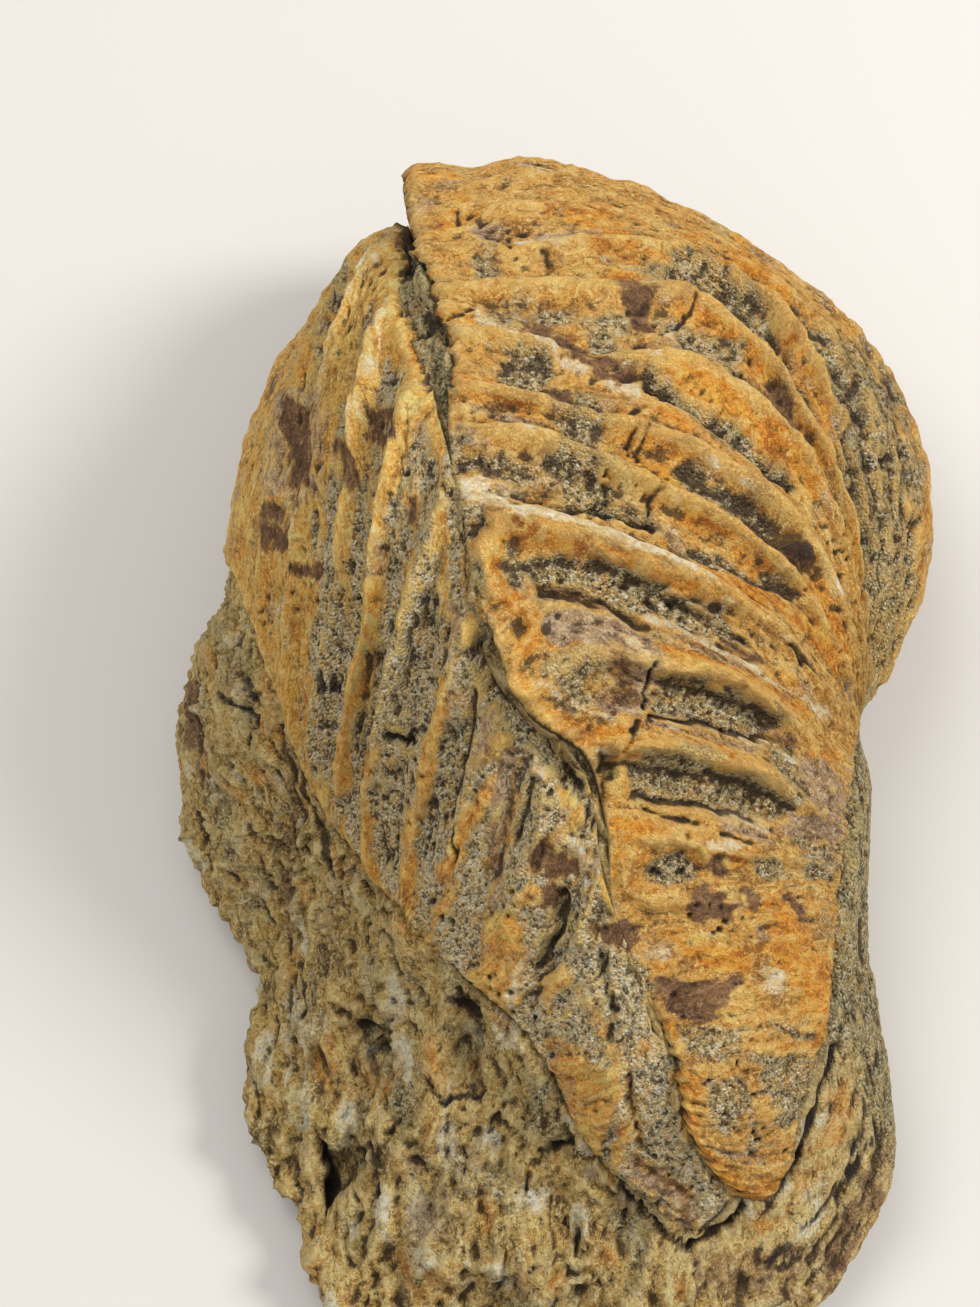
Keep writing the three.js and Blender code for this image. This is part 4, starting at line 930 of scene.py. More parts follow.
LOBE_START, LOBE_END = (-13, -10), (5, 10)  # plan y over which the lobe's step comes and goes
LOBE_HEIGHT = {1: 0.7, -1: -1.7}
LOBE_WIDTH = {1: 1.6, -1: 2.6}
OPEN_RIB = 11.9  # from this rib on, the valves part visibly
STREAK_SHARE = 0.45  # streaks are longer than wide by one over this
ROWS_BELOW = 0.6  # the side has this share of the rows that its length would give
RAGGED_COLUMNS = 9
WALL_CELLS = 5  # cells down the shell's broken edge
WALL_SAND_AND_SHADE = 0.6  # how fully sand covers the edge along the meeting line, and how darkly shade is painted on it
INNER_CELLS = 14
SHELL_HOLLOWS = (0.8, 4)  # depths in mm of hollows that count as full, fine and wide
LEAST_SLANT = 0.6  # keeps the shell's wall from growing too thick where it slants
BROKEN_RIB_SEED = 63
EDGE_DROP, EDGE_WIDTH = 0.7, 1.3  # how the outer face rounds over into the shell's edge
CLOSED_EDGE = 1.2  # it rounds over this much less where the valves touch


def rib_start(station, side):
    """Where a rib leaves the meeting line; side is 1 on the right and -1 on the left."""
    t = station / (len(MEETING_LINE) - 1)
    x, y, gap = spline(MEETING_LINE, t)
    along = spline(MEETING_LINE, t + 0.002) - spline(MEETING_LINE, t - 0.002)
    dx, dy = unit(along[:2])
    return x + side * dy * gap / 2, y - side * dx * gap / 2


class ValveSheet:
    """The smooth outer face of a valve, row by row from the beak to the open margin."""

    def __init__(self, ribs, rim_range, side, columns, rows):
        self.side = side
        self.last = len(ribs) - 1
        self.rib_count = len(ribs) + SKIRT_RIBS
        self.u = np.linspace(0, 1, columns)
        self.rib_points = np.stack([
            evenly(spline([rib_start(start, side), *path], np.linspace(0, 1, 240)), columns)
            for start, path in ribs
        ])
        self.edge = rim_at(np.radians(lerp(rim_range[0], rim_range[1], self.u)))
        self.phase = self.even_phases(rows)
        self.points, self.plan, self.sheet = self.rows_at(self.phase)
        self.normals = self.row_normals()

    def rows_at(self, phase):
        """Points, plan places and sheet places of the rows with these rib numbers."""
        crown_phase = phase[phase <= self.last]
        margin_phase = phase[(phase > self.last) & (phase <= self.last + 1)]
        skirt_phase = phase[phase > self.last + 1]
        crown_xy = spline(self.rib_points, crown_phase / self.last)
        reach = np.sin((margin_phase - self.last) * math.pi / 2)[:, None, None]
        edge_xy = np.stack(self.edge[:2], axis=-1)
        margin_xy = lerp(self.rib_points[-1], edge_xy, reach)
        xy = np.concatenate([crown_xy, margin_xy])
        top = on_surface(xy[..., 0], xy[..., 1])
        share = (skirt_phase - self.last - 1) / SKIRT_RIBS * SKIRT_END
        share = np.concatenate([[0], share])[:, None]
        rim = tuple(value[None] for value in self.edge)
        side = skirt(rim, share * np.ones_like(self.u))
        side_sheet = below_rim(rim, side)[1:]
        points = np.concatenate([top, side[1:]])
        plan = np.concatenate([xy, np.broadcast_to(edge_xy, side[1:].shape[:2] + (2,))])
        sheet = np.concatenate([sheet_points(xy[..., 0], xy[..., 1]), side_sheet])
        return points, plan, sheet

    def even_phases(self, rows):
        """Rib numbers of rows that lie about evenly over the valve."""
        phase = np.linspace(0, self.rib_count, 1600)
        points = self.rows_at(phase)[0][:, : int(len(self.u) * 0.6)]
        steps = np.linalg.norm(np.diff(points, axis=0), axis=-1).mean(axis=1)
        steps = steps * np.where(phase[1:] > self.last + 1, ROWS_BELOW, 1) + 1e-4
        travelled = np.concatenate([[0], np.cumsum(steps)])
        return np.interp(np.linspace(0, travelled[-1], rows), travelled, phase)

    def row_normals(self):
        """Outward directions; on the crown they are taken from the smooth surface itself."""
        across = np.gradient(self.points, axis=1)
        along = np.gradient(self.points, axis=0)
        normals = self.side * unit(np.cross(across, along))
        top = self.phase <= self.last
        x, y = self.plan[top][..., 0], self.plan[top][..., 1]
        normals[top] = surface_normal(x, y)
        return normals

    def fade(self):
        """Share of full relief: ribs die out at the edges and are finer on the skirt."""
        rib, u = self.phase[:, None], self.u[None]
        count = self.rib_count
        fine = 1 - 0.6 * smooth(rib, count - SKIRT_RIBS - 2.4, count - SKIRT_RIBS - 1)
        sides = smooth(u, -0.02, 0.1) * (1 - smooth(u, 0.86, 1.02))
        return fine * sides * smooth(rib, -0.2, 2.5) * (1 - smooth(rib, count - 0.6, count))

    def lie(self, points):
        """Millimetres across the ribs and, shortened, along them, for streaks that follow them."""
        across = np.linalg.norm(np.diff(self.points, axis=0), axis=-1).mean(axis=1)
        across = np.concatenate([[0], np.cumsum(across)])[:, None]
        along = np.linalg.norm(np.diff(points, axis=1), axis=-1)
        along = np.concatenate([0 * across, np.cumsum(along, axis=1)], axis=1)
        return np.stack([across + 0 * along, along * STREAK_SHARE, 0 * along], axis=-1)

    def ragged_edge(self, seed):
        """Sideways shifts of the first columns, where the shell's edge is broken and open."""
        edge = self.points[:, :RAGGED_COLUMNS]
        sideways = unit(self.points[:, RAGGED_COLUMNS:RAGGED_COLUMNS + 1] - edge[:, :1])
        broken = smooth(self.phase, OPEN_RIB - 0.6, OPEN_RIB + 0.2)
        broken = broken * (1 - smooth(self.phase, self.last - 0.6, self.last))
        jagged = 0.9 * noise(edge[:, :1], 2.6, seed) + 0.45 * noise(edge[:, :1], 0.9, seed + 1)
        shift = jagged * np.linspace(1, 0, RAGGED_COLUMNS)
        return sideways * (shift * broken[:, None])[..., None]

    def thickness(self):
        """The shell's thickness, least at its edges."""
        rib, u = self.phase[:, None], self.u[None]
        ends = np.minimum(rib, self.rib_count - rib) / 2.5
        edge = np.minimum(np.minimum(u, 1 - u) * 4, ends)
        return lerp(VALVE_EDGE, VALVE_THICKNESS, smooth(edge, 0, 1))

    def row_lengths(self):
        return np.linalg.norm(np.diff(self.points, axis=1), axis=-1).sum(axis=1)[:, None]

    def lobe_step(self):
        """Height beside the meeting line where the right valve's lobe stands over the left."""
        y = self.plan[:, :1, 1]
        beside_lobe = smooth(y, *LOBE_START) * (1 - smooth(y, *LOBE_END))
        near = np.exp(-(self.u * self.row_lengths() / LOBE_WIDTH[self.side]) ** 2)
        return LOBE_HEIGHT[self.side] * beside_lobe * near

    def edge_rounding(self):
        """How far the outer face drops where it turns over into the shell's edge."""
        height = np.linalg.norm(np.diff(self.points, axis=0), axis=-1)
        climbed = np.concatenate([np.zeros((1, len(self.u))), np.cumsum(height, axis=0)])
        beside = np.minimum(self.u, 1 - self.u) * self.row_lengths()
        ends = np.minimum(climbed, climbed[-1] - climbed)
        joined = (self.u < 0.5) & (self.phase < OPEN_RIB)[:, None]
        beside = np.where(joined, beside + CLOSED_EDGE, beside)
        return EDGE_DROP * (1 - smooth(np.minimum(beside, ends), 0, EDGE_WIDTH))


def rib_wave(rib):
    """Ribs with narrow crests and flat troughs, steeper on the side towards the beak."""
    turn = 2 * math.pi * rib
    turn = turn + 0.4 * np.sin(turn)
    return np.cos(turn) + 0.25 * np.cos(2 * turn) - 0.1


def right_wave(sheet):
    rib, u = sheet.phase[:, None], sheet.u[None]
    crowded = 1 - 0.85 * smooth(u, 0.5, 1) * smooth(rib, 7, 9)
    smoother = 1 - 0.65 * smooth(rib, 14.2, 15.3) * (1 - smooth(u, 0.3, 0.6))
    worn_beak = lerp(0.08, 1, smooth(rib, 6.4, 8.6))
    wave = RIGHT_RIB * rib_wave(rib) * crowded * smoother * sheet.fade() * worn_beak
    pause = np.sin(math.pi * np.clip(rib - PAUSE_RIB, 0, 1))
    return wave - PAUSE_DEPTH * pause * smooth(u, 0.25, 0.45) * (1 - smooth(u, 0.75, 1))


def left_wave(sheet):
    rib = sheet.phase[:, None]
    broken = 0.8 + 0.5 * noise(sheet.points, 9, BROKEN_RIB_SEED)
    worn_beak = lerp(0.1, 1, smooth(rib, 7, 12))
    return LEFT_RIB * rib_wave(rib) * sheet.fade() * worn_beak * broken


def pitted(points, size, seed):
    """Scattered small pits, 1 in a pit's middle and 0 outside the pits."""
    clustered = smooth(noise(points, 6, seed), -0.1, 0.5)
    return clustered * (1 - smooth(pebbles(points, size, seed + 1)[0], 0.1, 0.4))


def lamellae(sheet, points, seed):
    """Fine growth layers, each ending in a small step towards the open margin."""
    rib = np.repeat(sheet.phase, len(sheet.u))
    layer = rib * 4 + 0.5 * noise(points, 6, seed) + 0.25 * noise(points, 2, seed + 1)
    within = layer - np.floor(layer)
    step = within * (1 - smooth(within, 0.86, 1)) - 0.45
    return step * smooth(noise(points, 9, seed + 2), -0.5, 0.3)


def shell_coat(sheet, wave, sandy, seed):
    """Relief and finishes of a valve's outer face."""
    points = sheet.points.reshape(-1, 3)
    lie = sheet.lie(sheet.points).reshape(-1, 3)
    coat = Coat(points, lie, sheet.sheet.reshape(-1, 2), seed)
    coat.height += wave.ravel()
    in_groove = -wave.ravel() / 0.8
    patchy = noise(lie, 5, seed + 2) * 0.6 + noise(lie, 1.8, seed + 3) * 0.4
    below = smooth(np.repeat(sheet.phase, len(sheet.u)), sheet.last + 0.5, sheet.last + 1.5)
    coat.cover("sand", smooth(in_groove + patchy + sandy - 1 + below * (1 - sandy), 0.0, 0.9))
    stained = smooth(noise(lie, 4, seed + 4) + 0.5 * noise(lie, 1.2, seed + 5), -0.2, 0.7)
    coat.cover("rust", 0.8 * stained * (1 - coat.shares["sand"]))
    coat.cover("lavender", 0.6 * smooth(noise(lie, 3, seed + 14), 0.25, 0.6))
    dusty = smooth(noise(lie, 2.2, seed + 19) + 0.5 * noise(points, 1.1, seed + 20), 0.15, 0.7)
    coat.cover("sand", 0.45 * dusty)
    # cream in patches on the rib crests: partly the shell's pale crests, partly painted highlight
    crest_cream_and_highlight = smooth(noise(lie, 1.6, seed + 15), 0.2, 0.55)
    coat.cover("cream", 0.7 * crest_cream_and_highlight * smooth(wave.ravel(), 0, 0.6))
    coat.marks(SHELL_MARKS)
    sand = coat.shares["sand"]
    lumps = 0.25 * noise(points, 5, seed + 6) + 0.3 * noise(lie, 2.4, seed + 7)
    crust = 0.14 * noise(lie, 0.9, seed + 8) + 0.16 * noise(points, 1, seed + 17)
    crust += 0.14 * crumbs(points, 1.1, seed + 9)
    grains = 0.24 * crumbs(points, 0.95, seed + 10) + 0.06 * speckle(points, 0.35, seed)
    pits = pitted(points, 1.3, seed + 13)
    grainy = (0.3 + 0.7 * sand) * (1 - 0.6 * below)
    coat.height += lumps + crust * (1 - 0.3 * sand) + grains * grainy
    layered = 0.25 * (1 - sand) * (1 - below) + 0.45 * below
    coat.height += layered * lamellae(sheet, lie, seed + 16) - 0.45 * pits
    # painted shade in the pits
    coat.cover("dark", (0.55 - 0.3 * sand) * pits)
    coat.height += (sheet.lobe_step() - sheet.edge_rounding()).ravel()
    return coat


def valve_loop(sheet, outer, seed):
    """Rows of points all round the shell: outer face, far edge, inner wall and near edge."""
    inward = towards_core(sheet.points)
    slant = np.maximum(-np.sum(inward * sheet.normals, axis=-1), LEAST_SLANT)
    inner = sheet.points + inward * (sheet.thickness() / slant)[..., None]
    picked = np.linspace(outer.shape[1] - 1, 0, INNER_CELLS + 1).round().astype(int)
    inner = inner[:, picked]
    shares = np.linspace(0, 1, WALL_CELLS + 1)[1:-1]
    far_wall = [lerp(outer[:, -1], inner[:, 0], share) for share in shares]
    near_wall = [lerp(inner[:, -1], outer[:, 0], share) for share in shares]
    walls = [np.stack(wall, axis=1) for wall in (far_wall, near_wall)]
    for wall in walls:
        rough = 0.04 * noise(wall, 1.2, seed)
        facing = unit(np.cross(np.gradient(wall, axis=0), np.gradient(wall, axis=1)))
        wall += rough[..., None] * facing
    return np.concatenate([outer, walls[0], inner, walls[1], outer[:, :1]], axis=1)


def round_the_loop(sheet, finish, face, extra):
    """A finish's shares on the outer face, carried on over the loop's extra columns."""
    hidden = np.full((len(face), extra), 0.5 if finish == "relief" else 0.0)
    hidden[:, : WALL_CELLS - 1] = face[:, -1:]
    hidden[:, -WALL_CELLS:] = face[:, :1]
    # sand on the edge along the meeting line, which is also painted dark as shade in the gap
    # between the valves
    if finish in ("sand", "dark"):
        hidden[:, -WALL_CELLS:-1] = WALL_SAND_AND_SHADE
    # painted shade: darker still on that edge where the right valve's lobe stands over the left
    if finish == "dark":
        hidden[:, -WALL_CELLS:] += np.abs(sheet.lobe_step()[:, :1])
    return np.concatenate([face, hidden], axis=1)


def make_valve(name, sheet, wave, sandy, seed):
    """A valve as a closed piece: outer face, broken edges and a plain inner wall."""
    coat = shell_coat(sheet, wave, sandy, seed)
    rows, columns = sheet.points.shape[:2]
    height = coat.height.reshape(rows, columns)
    outer = sheet.points + sheet.normals * height[..., None]
    outer[:, :RAGGED_COLUMNS] += sheet.ragged_edge(seed + 18)
    loop = valve_loop(sheet, outer, seed + 11)
    lie = sheet.lie(np.concatenate([sheet.points, loop[:, columns:]], axis=1))
    lie[:, columns:-1] = loop[:, columns:-1]
    turned = slice(None, None, sheet.side)  # the left valve's columns run the other way
    piece = grid_object(name, loop[:, turned])
    set_lie(piece.data, lie[:, turned])
    # the relief share, from which the material paints shade in hollows and highlight on crests
    relief = cavity(height, *SHELL_HOLLOWS)
    for finish, values in {**coat.shares, "relief": relief}.items():
        face = values.reshape(rows, columns)
        full = round_the_loop(sheet, finish, face, loop.shape[1] - columns)
        set_share(piece.data, finish, full[:, turned])
    close_up(piece, fill=True)
    return piece


# ------------------------------------------------------------------ the sandstone

ROCK_LIE = (1, 0.45, 1)  # the rock's streaks run towards the beaks
SPOKES = 640
CROWN_RINGS = 104
SKIRT_RINGS = 36
HIDDEN_OUT, HIDDEN_RINGS = 0.24, 4  # the middle, under the valves, has few rings
CROWDED_OUT, CROWDED_SPAN, CROWDED_RINGS = 0.93, 0.07, 10  # near the rim they are crowded
SAND_BELOW_SHELL = 1.5
RIM_JOIN = 107  # bearing at which the valves meet on the rim
SHELL_END, NOTCH = 150, 366  # bearings at which the left and the right valve end
FLANK_START, FLANK_END = (278, 292), (366, 372)  # the plainer right flank comes and goes
ROCK_SEED, ROCK_STAIN_SEED = 50, 40
ROCK_HOLLOWS = (1.6, 8)  # depths in mm of hollows that count as full, fine and wide


def spoke_bearings():
    """Bearings of the spokes, crowded where the sandstone shows."""
    bearing = np.radians(np.linspace(15, 375, 1441))
    degrees = np.degrees(bearing)
    shown = smooth(degrees, 138, 150)
    gap = smooth(degrees, 98, 103) * (1 - smooth(degrees, 134, 140))
    density = 0.12 + 0.88 * np.maximum(shown, gap)
    travelled = np.concatenate([[0], np.cumsum((density[1:] + density[:-1]) / 2)])
    return np.interp(np.linspace(0, travelled[-1], SPOKES + 1), travelled, bearing)


def cover_outline(sheet):
    """Plan outline of the ground that a valve covers, run out beyond the rim."""
    top = sheet.phase <= sheet.last + 1
    plan = sheet.plan[top]
    step = 8
    centre = np.array(BODY_CENTRE)
    beyond = centre + (plan[-1] - centre) * 1.12
    near, far = plan[::step, 0], plan[::step, -1]
    return np.concatenate([near, beyond[::step], beyond[-1:], far[::-1], plan[0, ::-step]])


def sandstone_cover(x, y, sheets):
    """How far a plan point lies inside the ground that the valves cover, in mm."""
    points = np.stack([x.ravel(), y.ravel()], axis=-1)
    depths = [area_depth(points, cover_outline(sheet)) for sheet in sheets]
    return np.max(depths, axis=0).reshape(x.shape)


def skirt_cover(bearing, t, rim, length):
    """The same on the skirt."""
    degrees = np.degrees(bearing) % 360
    radius = rim[3]
    depths = []
    for low, high in ((RIGHT_RIM[1], RIM_JOIN + 1), (RIM_JOIN - 1, LEFT_RIM[1])):
        beside = np.radians(np.minimum(degrees - low, high - degrees)) * radius
        depths.append(np.minimum(beside, (SKIRT_END - t) * length))
    return np.maximum(*depths)


def crown_rings():
    """How far out the top's rings lie, 0 in the middle and 1 on the rim."""
    hidden = np.linspace(0, HIDDEN_OUT, HIDDEN_RINGS + 1)[:-1]
    shown = np.linspace(HIDDEN_OUT, CROWDED_OUT, CROWN_RINGS - HIDDEN_RINGS - CROWDED_RINGS)
    turn = np.linspace(0, 1, CROWDED_RINGS + 1)[1:] * math.pi / 2
    crowded = CROWDED_OUT + CROWDED_SPAN * np.sin(turn)
    return np.concatenate([hidden, shown, crowded])[:, None]


class RockSheet:
    """The sandstone's face without its texture: rings on top, then down the side."""

    def __init__(self, valves):
        bearing = spoke_bearings()
        self.degrees = np.degrees(bearing)
        rim = tuple(value[None] for value in rim_at(bearing))
        self.out = crown_rings()
        self.down = np.linspace(0, 1, SKIRT_RINGS + 1)[:, None] ** 0.9
        self.x = lerp(BODY_CENTRE[0], rim[0], self.out)
        self.y = lerp(BODY_CENTRE[1], rim[1], self.out)
        cover = sandstone_cover(self.x, self.y, valves)
        behind = 1.6 * smooth(self.y, 38, 46) * smooth(-self.x, -20, -10)
        self.top_cover = np.maximum(cover, behind)
        self.beside_beaks = self.beak_share()
        self.in_gap = self.gap_share()
        top = place(self.x, self.y, surface(self.x, self.y) + self.level())
        side = skirt(rim, self.down * np.ones_like(rim[0]))
        length = np.linalg.norm(np.diff(side, axis=0), axis=-1).sum(axis=0)
        side_cover = skirt_cover(bearing[None], self.down, rim, length)
        self.points = np.concatenate([top, side[1:]])
        sheet = [sheet_points(self.x, self.y), below_rim(rim, side)[1:]]
        self.sheet = np.concatenate(sheet)
        self.cover = np.concatenate([self.top_cover, side_cover[1:]])
        self.ground = np.concatenate([0 * self.out, self.down[1:]])
        across, along = np.gradient(self.points, axis=1), np.gradient(self.points, axis=0)
        self.normals = unit(np.cross(across, along)) * -1
        self.normals[:3] = surface_normal(self.x[:3] + 1e-3, self.y[:3])

    def beak_share(self):
        """Where the sandstone lies in thin courses beside the beaks."""
        fading = 1 - smooth(self.out, 0.9, 1)
        right = smooth(self.x, 4, 16) * (1 - smooth(self.y, -42, -32))
        return right * fading * smooth(-self.top_cover, 0.3, 1.5)

    def gap_share(self):
        """Where the sandstone fills the gap between the valves."""
        share = smooth(self.y, -52, -44) * smooth(self.x, -11, -8) * (1 - smooth(self.x, 15, 24))
        share *= smooth(-self.top_cover, -1.5, 0)
        return share * (1 - smooth(-self.top_cover, 3.2, 3.4))

    def level(self):
        """The top's height against the body's smooth surface."""
        x, y, cover = self.x, self.y, self.top_cover
        flat = place(x, y, 0 * x)
        course = -cover / 2.6 + 0.6 * noise(flat, 7, ROCK_STAIN_SEED + 6)
        courses = 0.8 * self.beside_beaks * (course - np.floor(course) - 0.5)
        lapping = -SAND_BELOW_SHELL * np.exp(-((np.maximum(-cover, 0) / 6) ** 2))
        patchy = 0.55 + 0.8 * noise(flat, 7, ROCK_STAIN_SEED + 5)
        lapping *= patchy * (1 - 0.6 * self.beside_beaks)
        filled = -0.3 - 1.3 * smooth(y, 18, 24)
        beside = lerp(lapping, filled, self.in_gap)
        fading = 1 - smooth(self.out, 0.9, 1)
        return (beside + forms(x, y, ROCK_FORMS)) * fading + courses

    def on_top(self, share):
        """A share of the top, with 0 down the side, point by point."""
        return np.concatenate([share, np.zeros((SKIRT_RINGS, SPOKES + 1))]).ravel()


def stain_rock(coat, lie, rock):
    """The sandstone's finishes: blotches all over, then the places that differ."""
    seed = ROCK_STAIN_SEED
    coat.cover("sand", 0.15 + 0.6 * smooth(noise(lie, 5, seed + 7), 0, 0.6))
    coat.cover("cream", 0.8 * smooth(noise(lie, 3, seed + 8), 0.1, 0.5))
    coat.cover("lavender", 0.4 * smooth(noise(lie, 4, seed + 9), 0.2, 0.6))
    coat.cover("rust", 0.6 * smooth(noise(lie, 3, seed + 4), 0.1, 0.6))
    grimy = noise(lie, 2, seed + 3) + 0.4 * noise(lie, 0.8, seed + 2)
    coat.cover("dark", 0.4 * smooth(grimy, 0.3, 0.8))
    deep_gap = rock.on_top(rock.in_gap * smooth(rock.y, 16, 22))
    coat.cover("sand", deep_gap)
    # painted shade in the deep part of the gap between the valves, over the sand that fills it
    coat.cover("dark", 0.25 * deep_gap)
    beside_beaks = rock.on_top(rock.beside_beaks)
    coat.cover("rust", 0.45 * beside_beaks)
    coat.cover("dark", 0.25 * beside_beaks)
    low_right = smooth(rock.x, 18, 30) * (1 - smooth(rock.y, -50, -40))
    low_right = low_right * smooth(-rock.top_cover, 2, 6)
    low_right = np.concatenate([low_right, low_right[-1:] * np.ones_like(rock.down[1:])]).ravel()
    coat.cover("rust", 0.4 * low_right)
    coat.cover("plum", 0.7 * low_right * smooth(noise(lie, 4, seed + 1), -0.6, 0.1))
    # painted shade over the rock's lower right; the rust and plum before it are its own brown
    coat.cover("dark", 0.35 * low_right)
    strip = smooth(rock.degrees, 300, 312) * (1 - smooth(rock.degrees, *FLANK_END))
    sandy_edge = (strip * (1 - rock.ground)).ravel()
    coat.cover("sand", 0.7 * sandy_edge)
    coat.cover("dark", 0.25 * sandy_edge)
    coat.marks(ROCK_MARKS)


def roughen_rock(coat, flat, lie):
    """Adds the sandstone's texture: broad swellings, broken flakes, crust, beds and grains."""
    seed = ROCK_SEED
    coarse = 1.1 * noise(flat, 11, seed) + 0.8 * noise(flat, 5, seed + 1)
    bent = lie + 1.2 * noise(flat, 4, seed)[:, None]
    rugged = 0.3 * crumbs(bent, 3.8, seed + 2) + 0.1 * crumbs(bent, 1.3, seed + 3)
    rugged += 0.6 * (0.5 - 2 * np.abs(noise(bent, 2.6, seed + 12)))
    flake = (lie[:, 0] - 0.35 * lie[:, 1]) / 2.2 + 1.1 * noise(lie, 3, seed + 10)
    rugged += 0.7 * (flake - np.floor(flake) - 0.5) * smooth(noise(flat, 8, seed + 11), -0.3, 0.3)
    crust = 0.3 * noise(lie, 1.1, seed + 8)
    crust += 0.4 * (0.5 - 2 * np.abs(noise(bent * (1, 0.6, 1), 1.3, seed + 13)))
    beds = 0.3 * noise(flat * (1, 1, 3), 4, seed + 4)
    grains = 0.3 * crumbs(flat, 0.9, seed + 5) + 0.07 * speckle(flat, 0.4, seed)
    pits = pitted(flat, 1.7, seed + 9)
    coat.height += coarse + rugged + crust + beds + grains - 0.15 * pits
    # painted shade in the pits
    coat.cover("dark", 0.15 * pits)


def settle_relief(relief, rock):
    """The relief, calmed where it would push through the shell or past the outline."""
    relief = relief * (1 - smooth(rock.ground, 0.86, 1))
    relief[: len(rock.out)] *= 1 - 0.3 * rock.in_gap - 0.7 * rock.beside_beaks
    degrees = rock.degrees
    notch = np.exp(-(((degrees - NOTCH) / 13) ** 2)) + np.exp(-(((degrees - SHELL_END) / 4) ** 2))
    flank = smooth(degrees, *FLANK_START) * (1 - smooth(degrees, *FLANK_END))
    relief = relief * (1 - 0.85 * notch) * (1 - 0.65 * flank) - 0.6 * notch
    join = np.concatenate([smooth(rock.out, 0.84, 0.94), np.ones_like(rock.down[1:])])
    join = join * np.exp(-(((degrees - RIM_JOIN) / 5) ** 2))
    return relief * (1 - 0.9 * join) - 1.2 * join


def make_sandstone(valves):
    """The sandstone as a closed piece with a flat base."""
    rock = RockSheet(valves)
    shape = rock.cover.shape
    flat = rock.points.reshape(-1, 3)
    lie = flat * ROCK_LIE
    coat = Coat(flat, lie, rock.sheet.reshape(-1, 2), ROCK_STAIN_SEED)
    stain_rock(coat, lie, rock)
    roughen_rock(coat, flat, lie)
    relief = settle_relief(coat.height.reshape(shape), rock)
    wobble = 0.35 * noise(flat, 1.4, ROCK_SEED + 6).reshape(shape)
    under = smooth(rock.cover + wobble, 0.2, 1.3)
    relief = relief * (1 - 0.7 * under)
    moved = rock.points + rock.normals * relief[..., None]
    sunk = under * BED_DEPTH * (1 - smooth(rock.ground, 0.9, 1))
    moved += towards_core(rock.points) * sunk[..., None]
    moved[..., 2] = np.maximum(moved[..., 2], 0)
    moved[-1, :, 2] = 0
    middle = np.zeros((1,) + moved.shape[1:])
    loop = np.concatenate([moved, lerp(moved[-1:], middle, 0.5), middle])[::-1]
    piece = grid_object("sandstone", loop)
    set_lie(piece.data, loop * ROCK_LIE)
    # the relief share, from which the material paints shade in hollows and highlight on crests
    knobs = cavity(coat.height.reshape(shape), *ROCK_HOLLOWS)
    for finish, values in {**coat.shares, "relief": knobs}.items():
        full = np.concatenate([values.reshape(shape), np.zeros((2, SPOKES + 1))])
        set_share(piece.data, finish, full[::-1])
    close_up(piece, fill=False)
    return piece


# ------------------------------------------------------------------ materials


SPECK_TONE = (66, 46, 26)
# painted shade in the hollows of the relief
PAINTED_HOLLOW_SHADE_TONE = (66, 47, 26)
# grime, and painted shade in cracks, crevices, pits and gaps
GRIME_AND_SHADE_TONE = (34, 27, 20)
BLACK_GRAIN_TONE = (50, 42, 30)
WHITE_GRAIN_TONE = (252, 236, 200)


def tone(red, green, blue):
    """A colour given as it looks on a screen, 0 to 255, in the renderer's linear values."""
    linear = [((v / 255 + 0.055) / 1.055) ** 2.4 for v in (red, green, blue)]
    return (*linear, 1)


class Nodes:
    """Short ways to add and join the nodes of one tree."""

    def __init__(self, tree):
        self.tree = tree

    def add(self, kind, values=None, **settings):
        node = self.tree.nodes.new(kind)
        for key, value in settings.items():
            setattr(node, key, value)
        for key, value in (values or {}).items():
            if isinstance(value, bpy.types.NodeSocket):
                self.tree.links.new(value, node.inputs[key])
            else:
                node.inputs[key].default_value = value
        return node

    def math(self, operation, *values, clamp=False):
        node = self.add("ShaderNodeMath", dict(enumerate(values)), operation=operation,
                        use_clamp=clamp)
        return node.outputs[0]

    def mix(self, factor, a, b, blend="MIX"):
        node = self.add("ShaderNodeMix", {0: factor, 6: a, 7: b}, data_type="RGBA",
                        blend_type=blend)
        return node.outputs[2]

    def ramp(self, value, low, high, out_low=0.0, out_high=1.0):
        node = self.add("ShaderNodeMapRange", {0: value, 1: low, 2: high, 3: out_low, 4: out_high},
                        interpolation_type="SMOOTHSTEP")
        return node.outputs[0]

    def noise(self, vector, size_mm, detail=3, roughness=0.55, swirl=0.0):
        node = self.add("ShaderNodeTexNoise", {
            "Vector": vector, "Scale": 1 / (size_mm * MM), "Detail": detail,
            "Roughness": roughness, "Distortion": swirl,
        })
        return node.outputs["Fac"]

    def cells(self, vector, size_mm):
        return self.add("ShaderNodeTexVoronoi", {
            "Vector": vector, "Scale": 1 / (size_mm * MM),
        })


def new_group(name, inputs, outputs):
    """An empty node group with the given inputs and outputs: name, socket type, value."""
    group = bpy.data.node_groups.new(name, "ShaderNodeTree")
    for label, kind, value in inputs:
        socket = group.interface.new_socket(label, in_out="INPUT", socket_type=kind)
        if value is not None:
            socket.default_value = value
    for label, kind in outputs:
        group.interface.new_socket(label, in_out="OUTPUT", socket_type=kind)
    nodes = Nodes(group)
    return group, nodes, nodes.add("NodeGroupInput"), nodes.add("NodeGroupOutput")


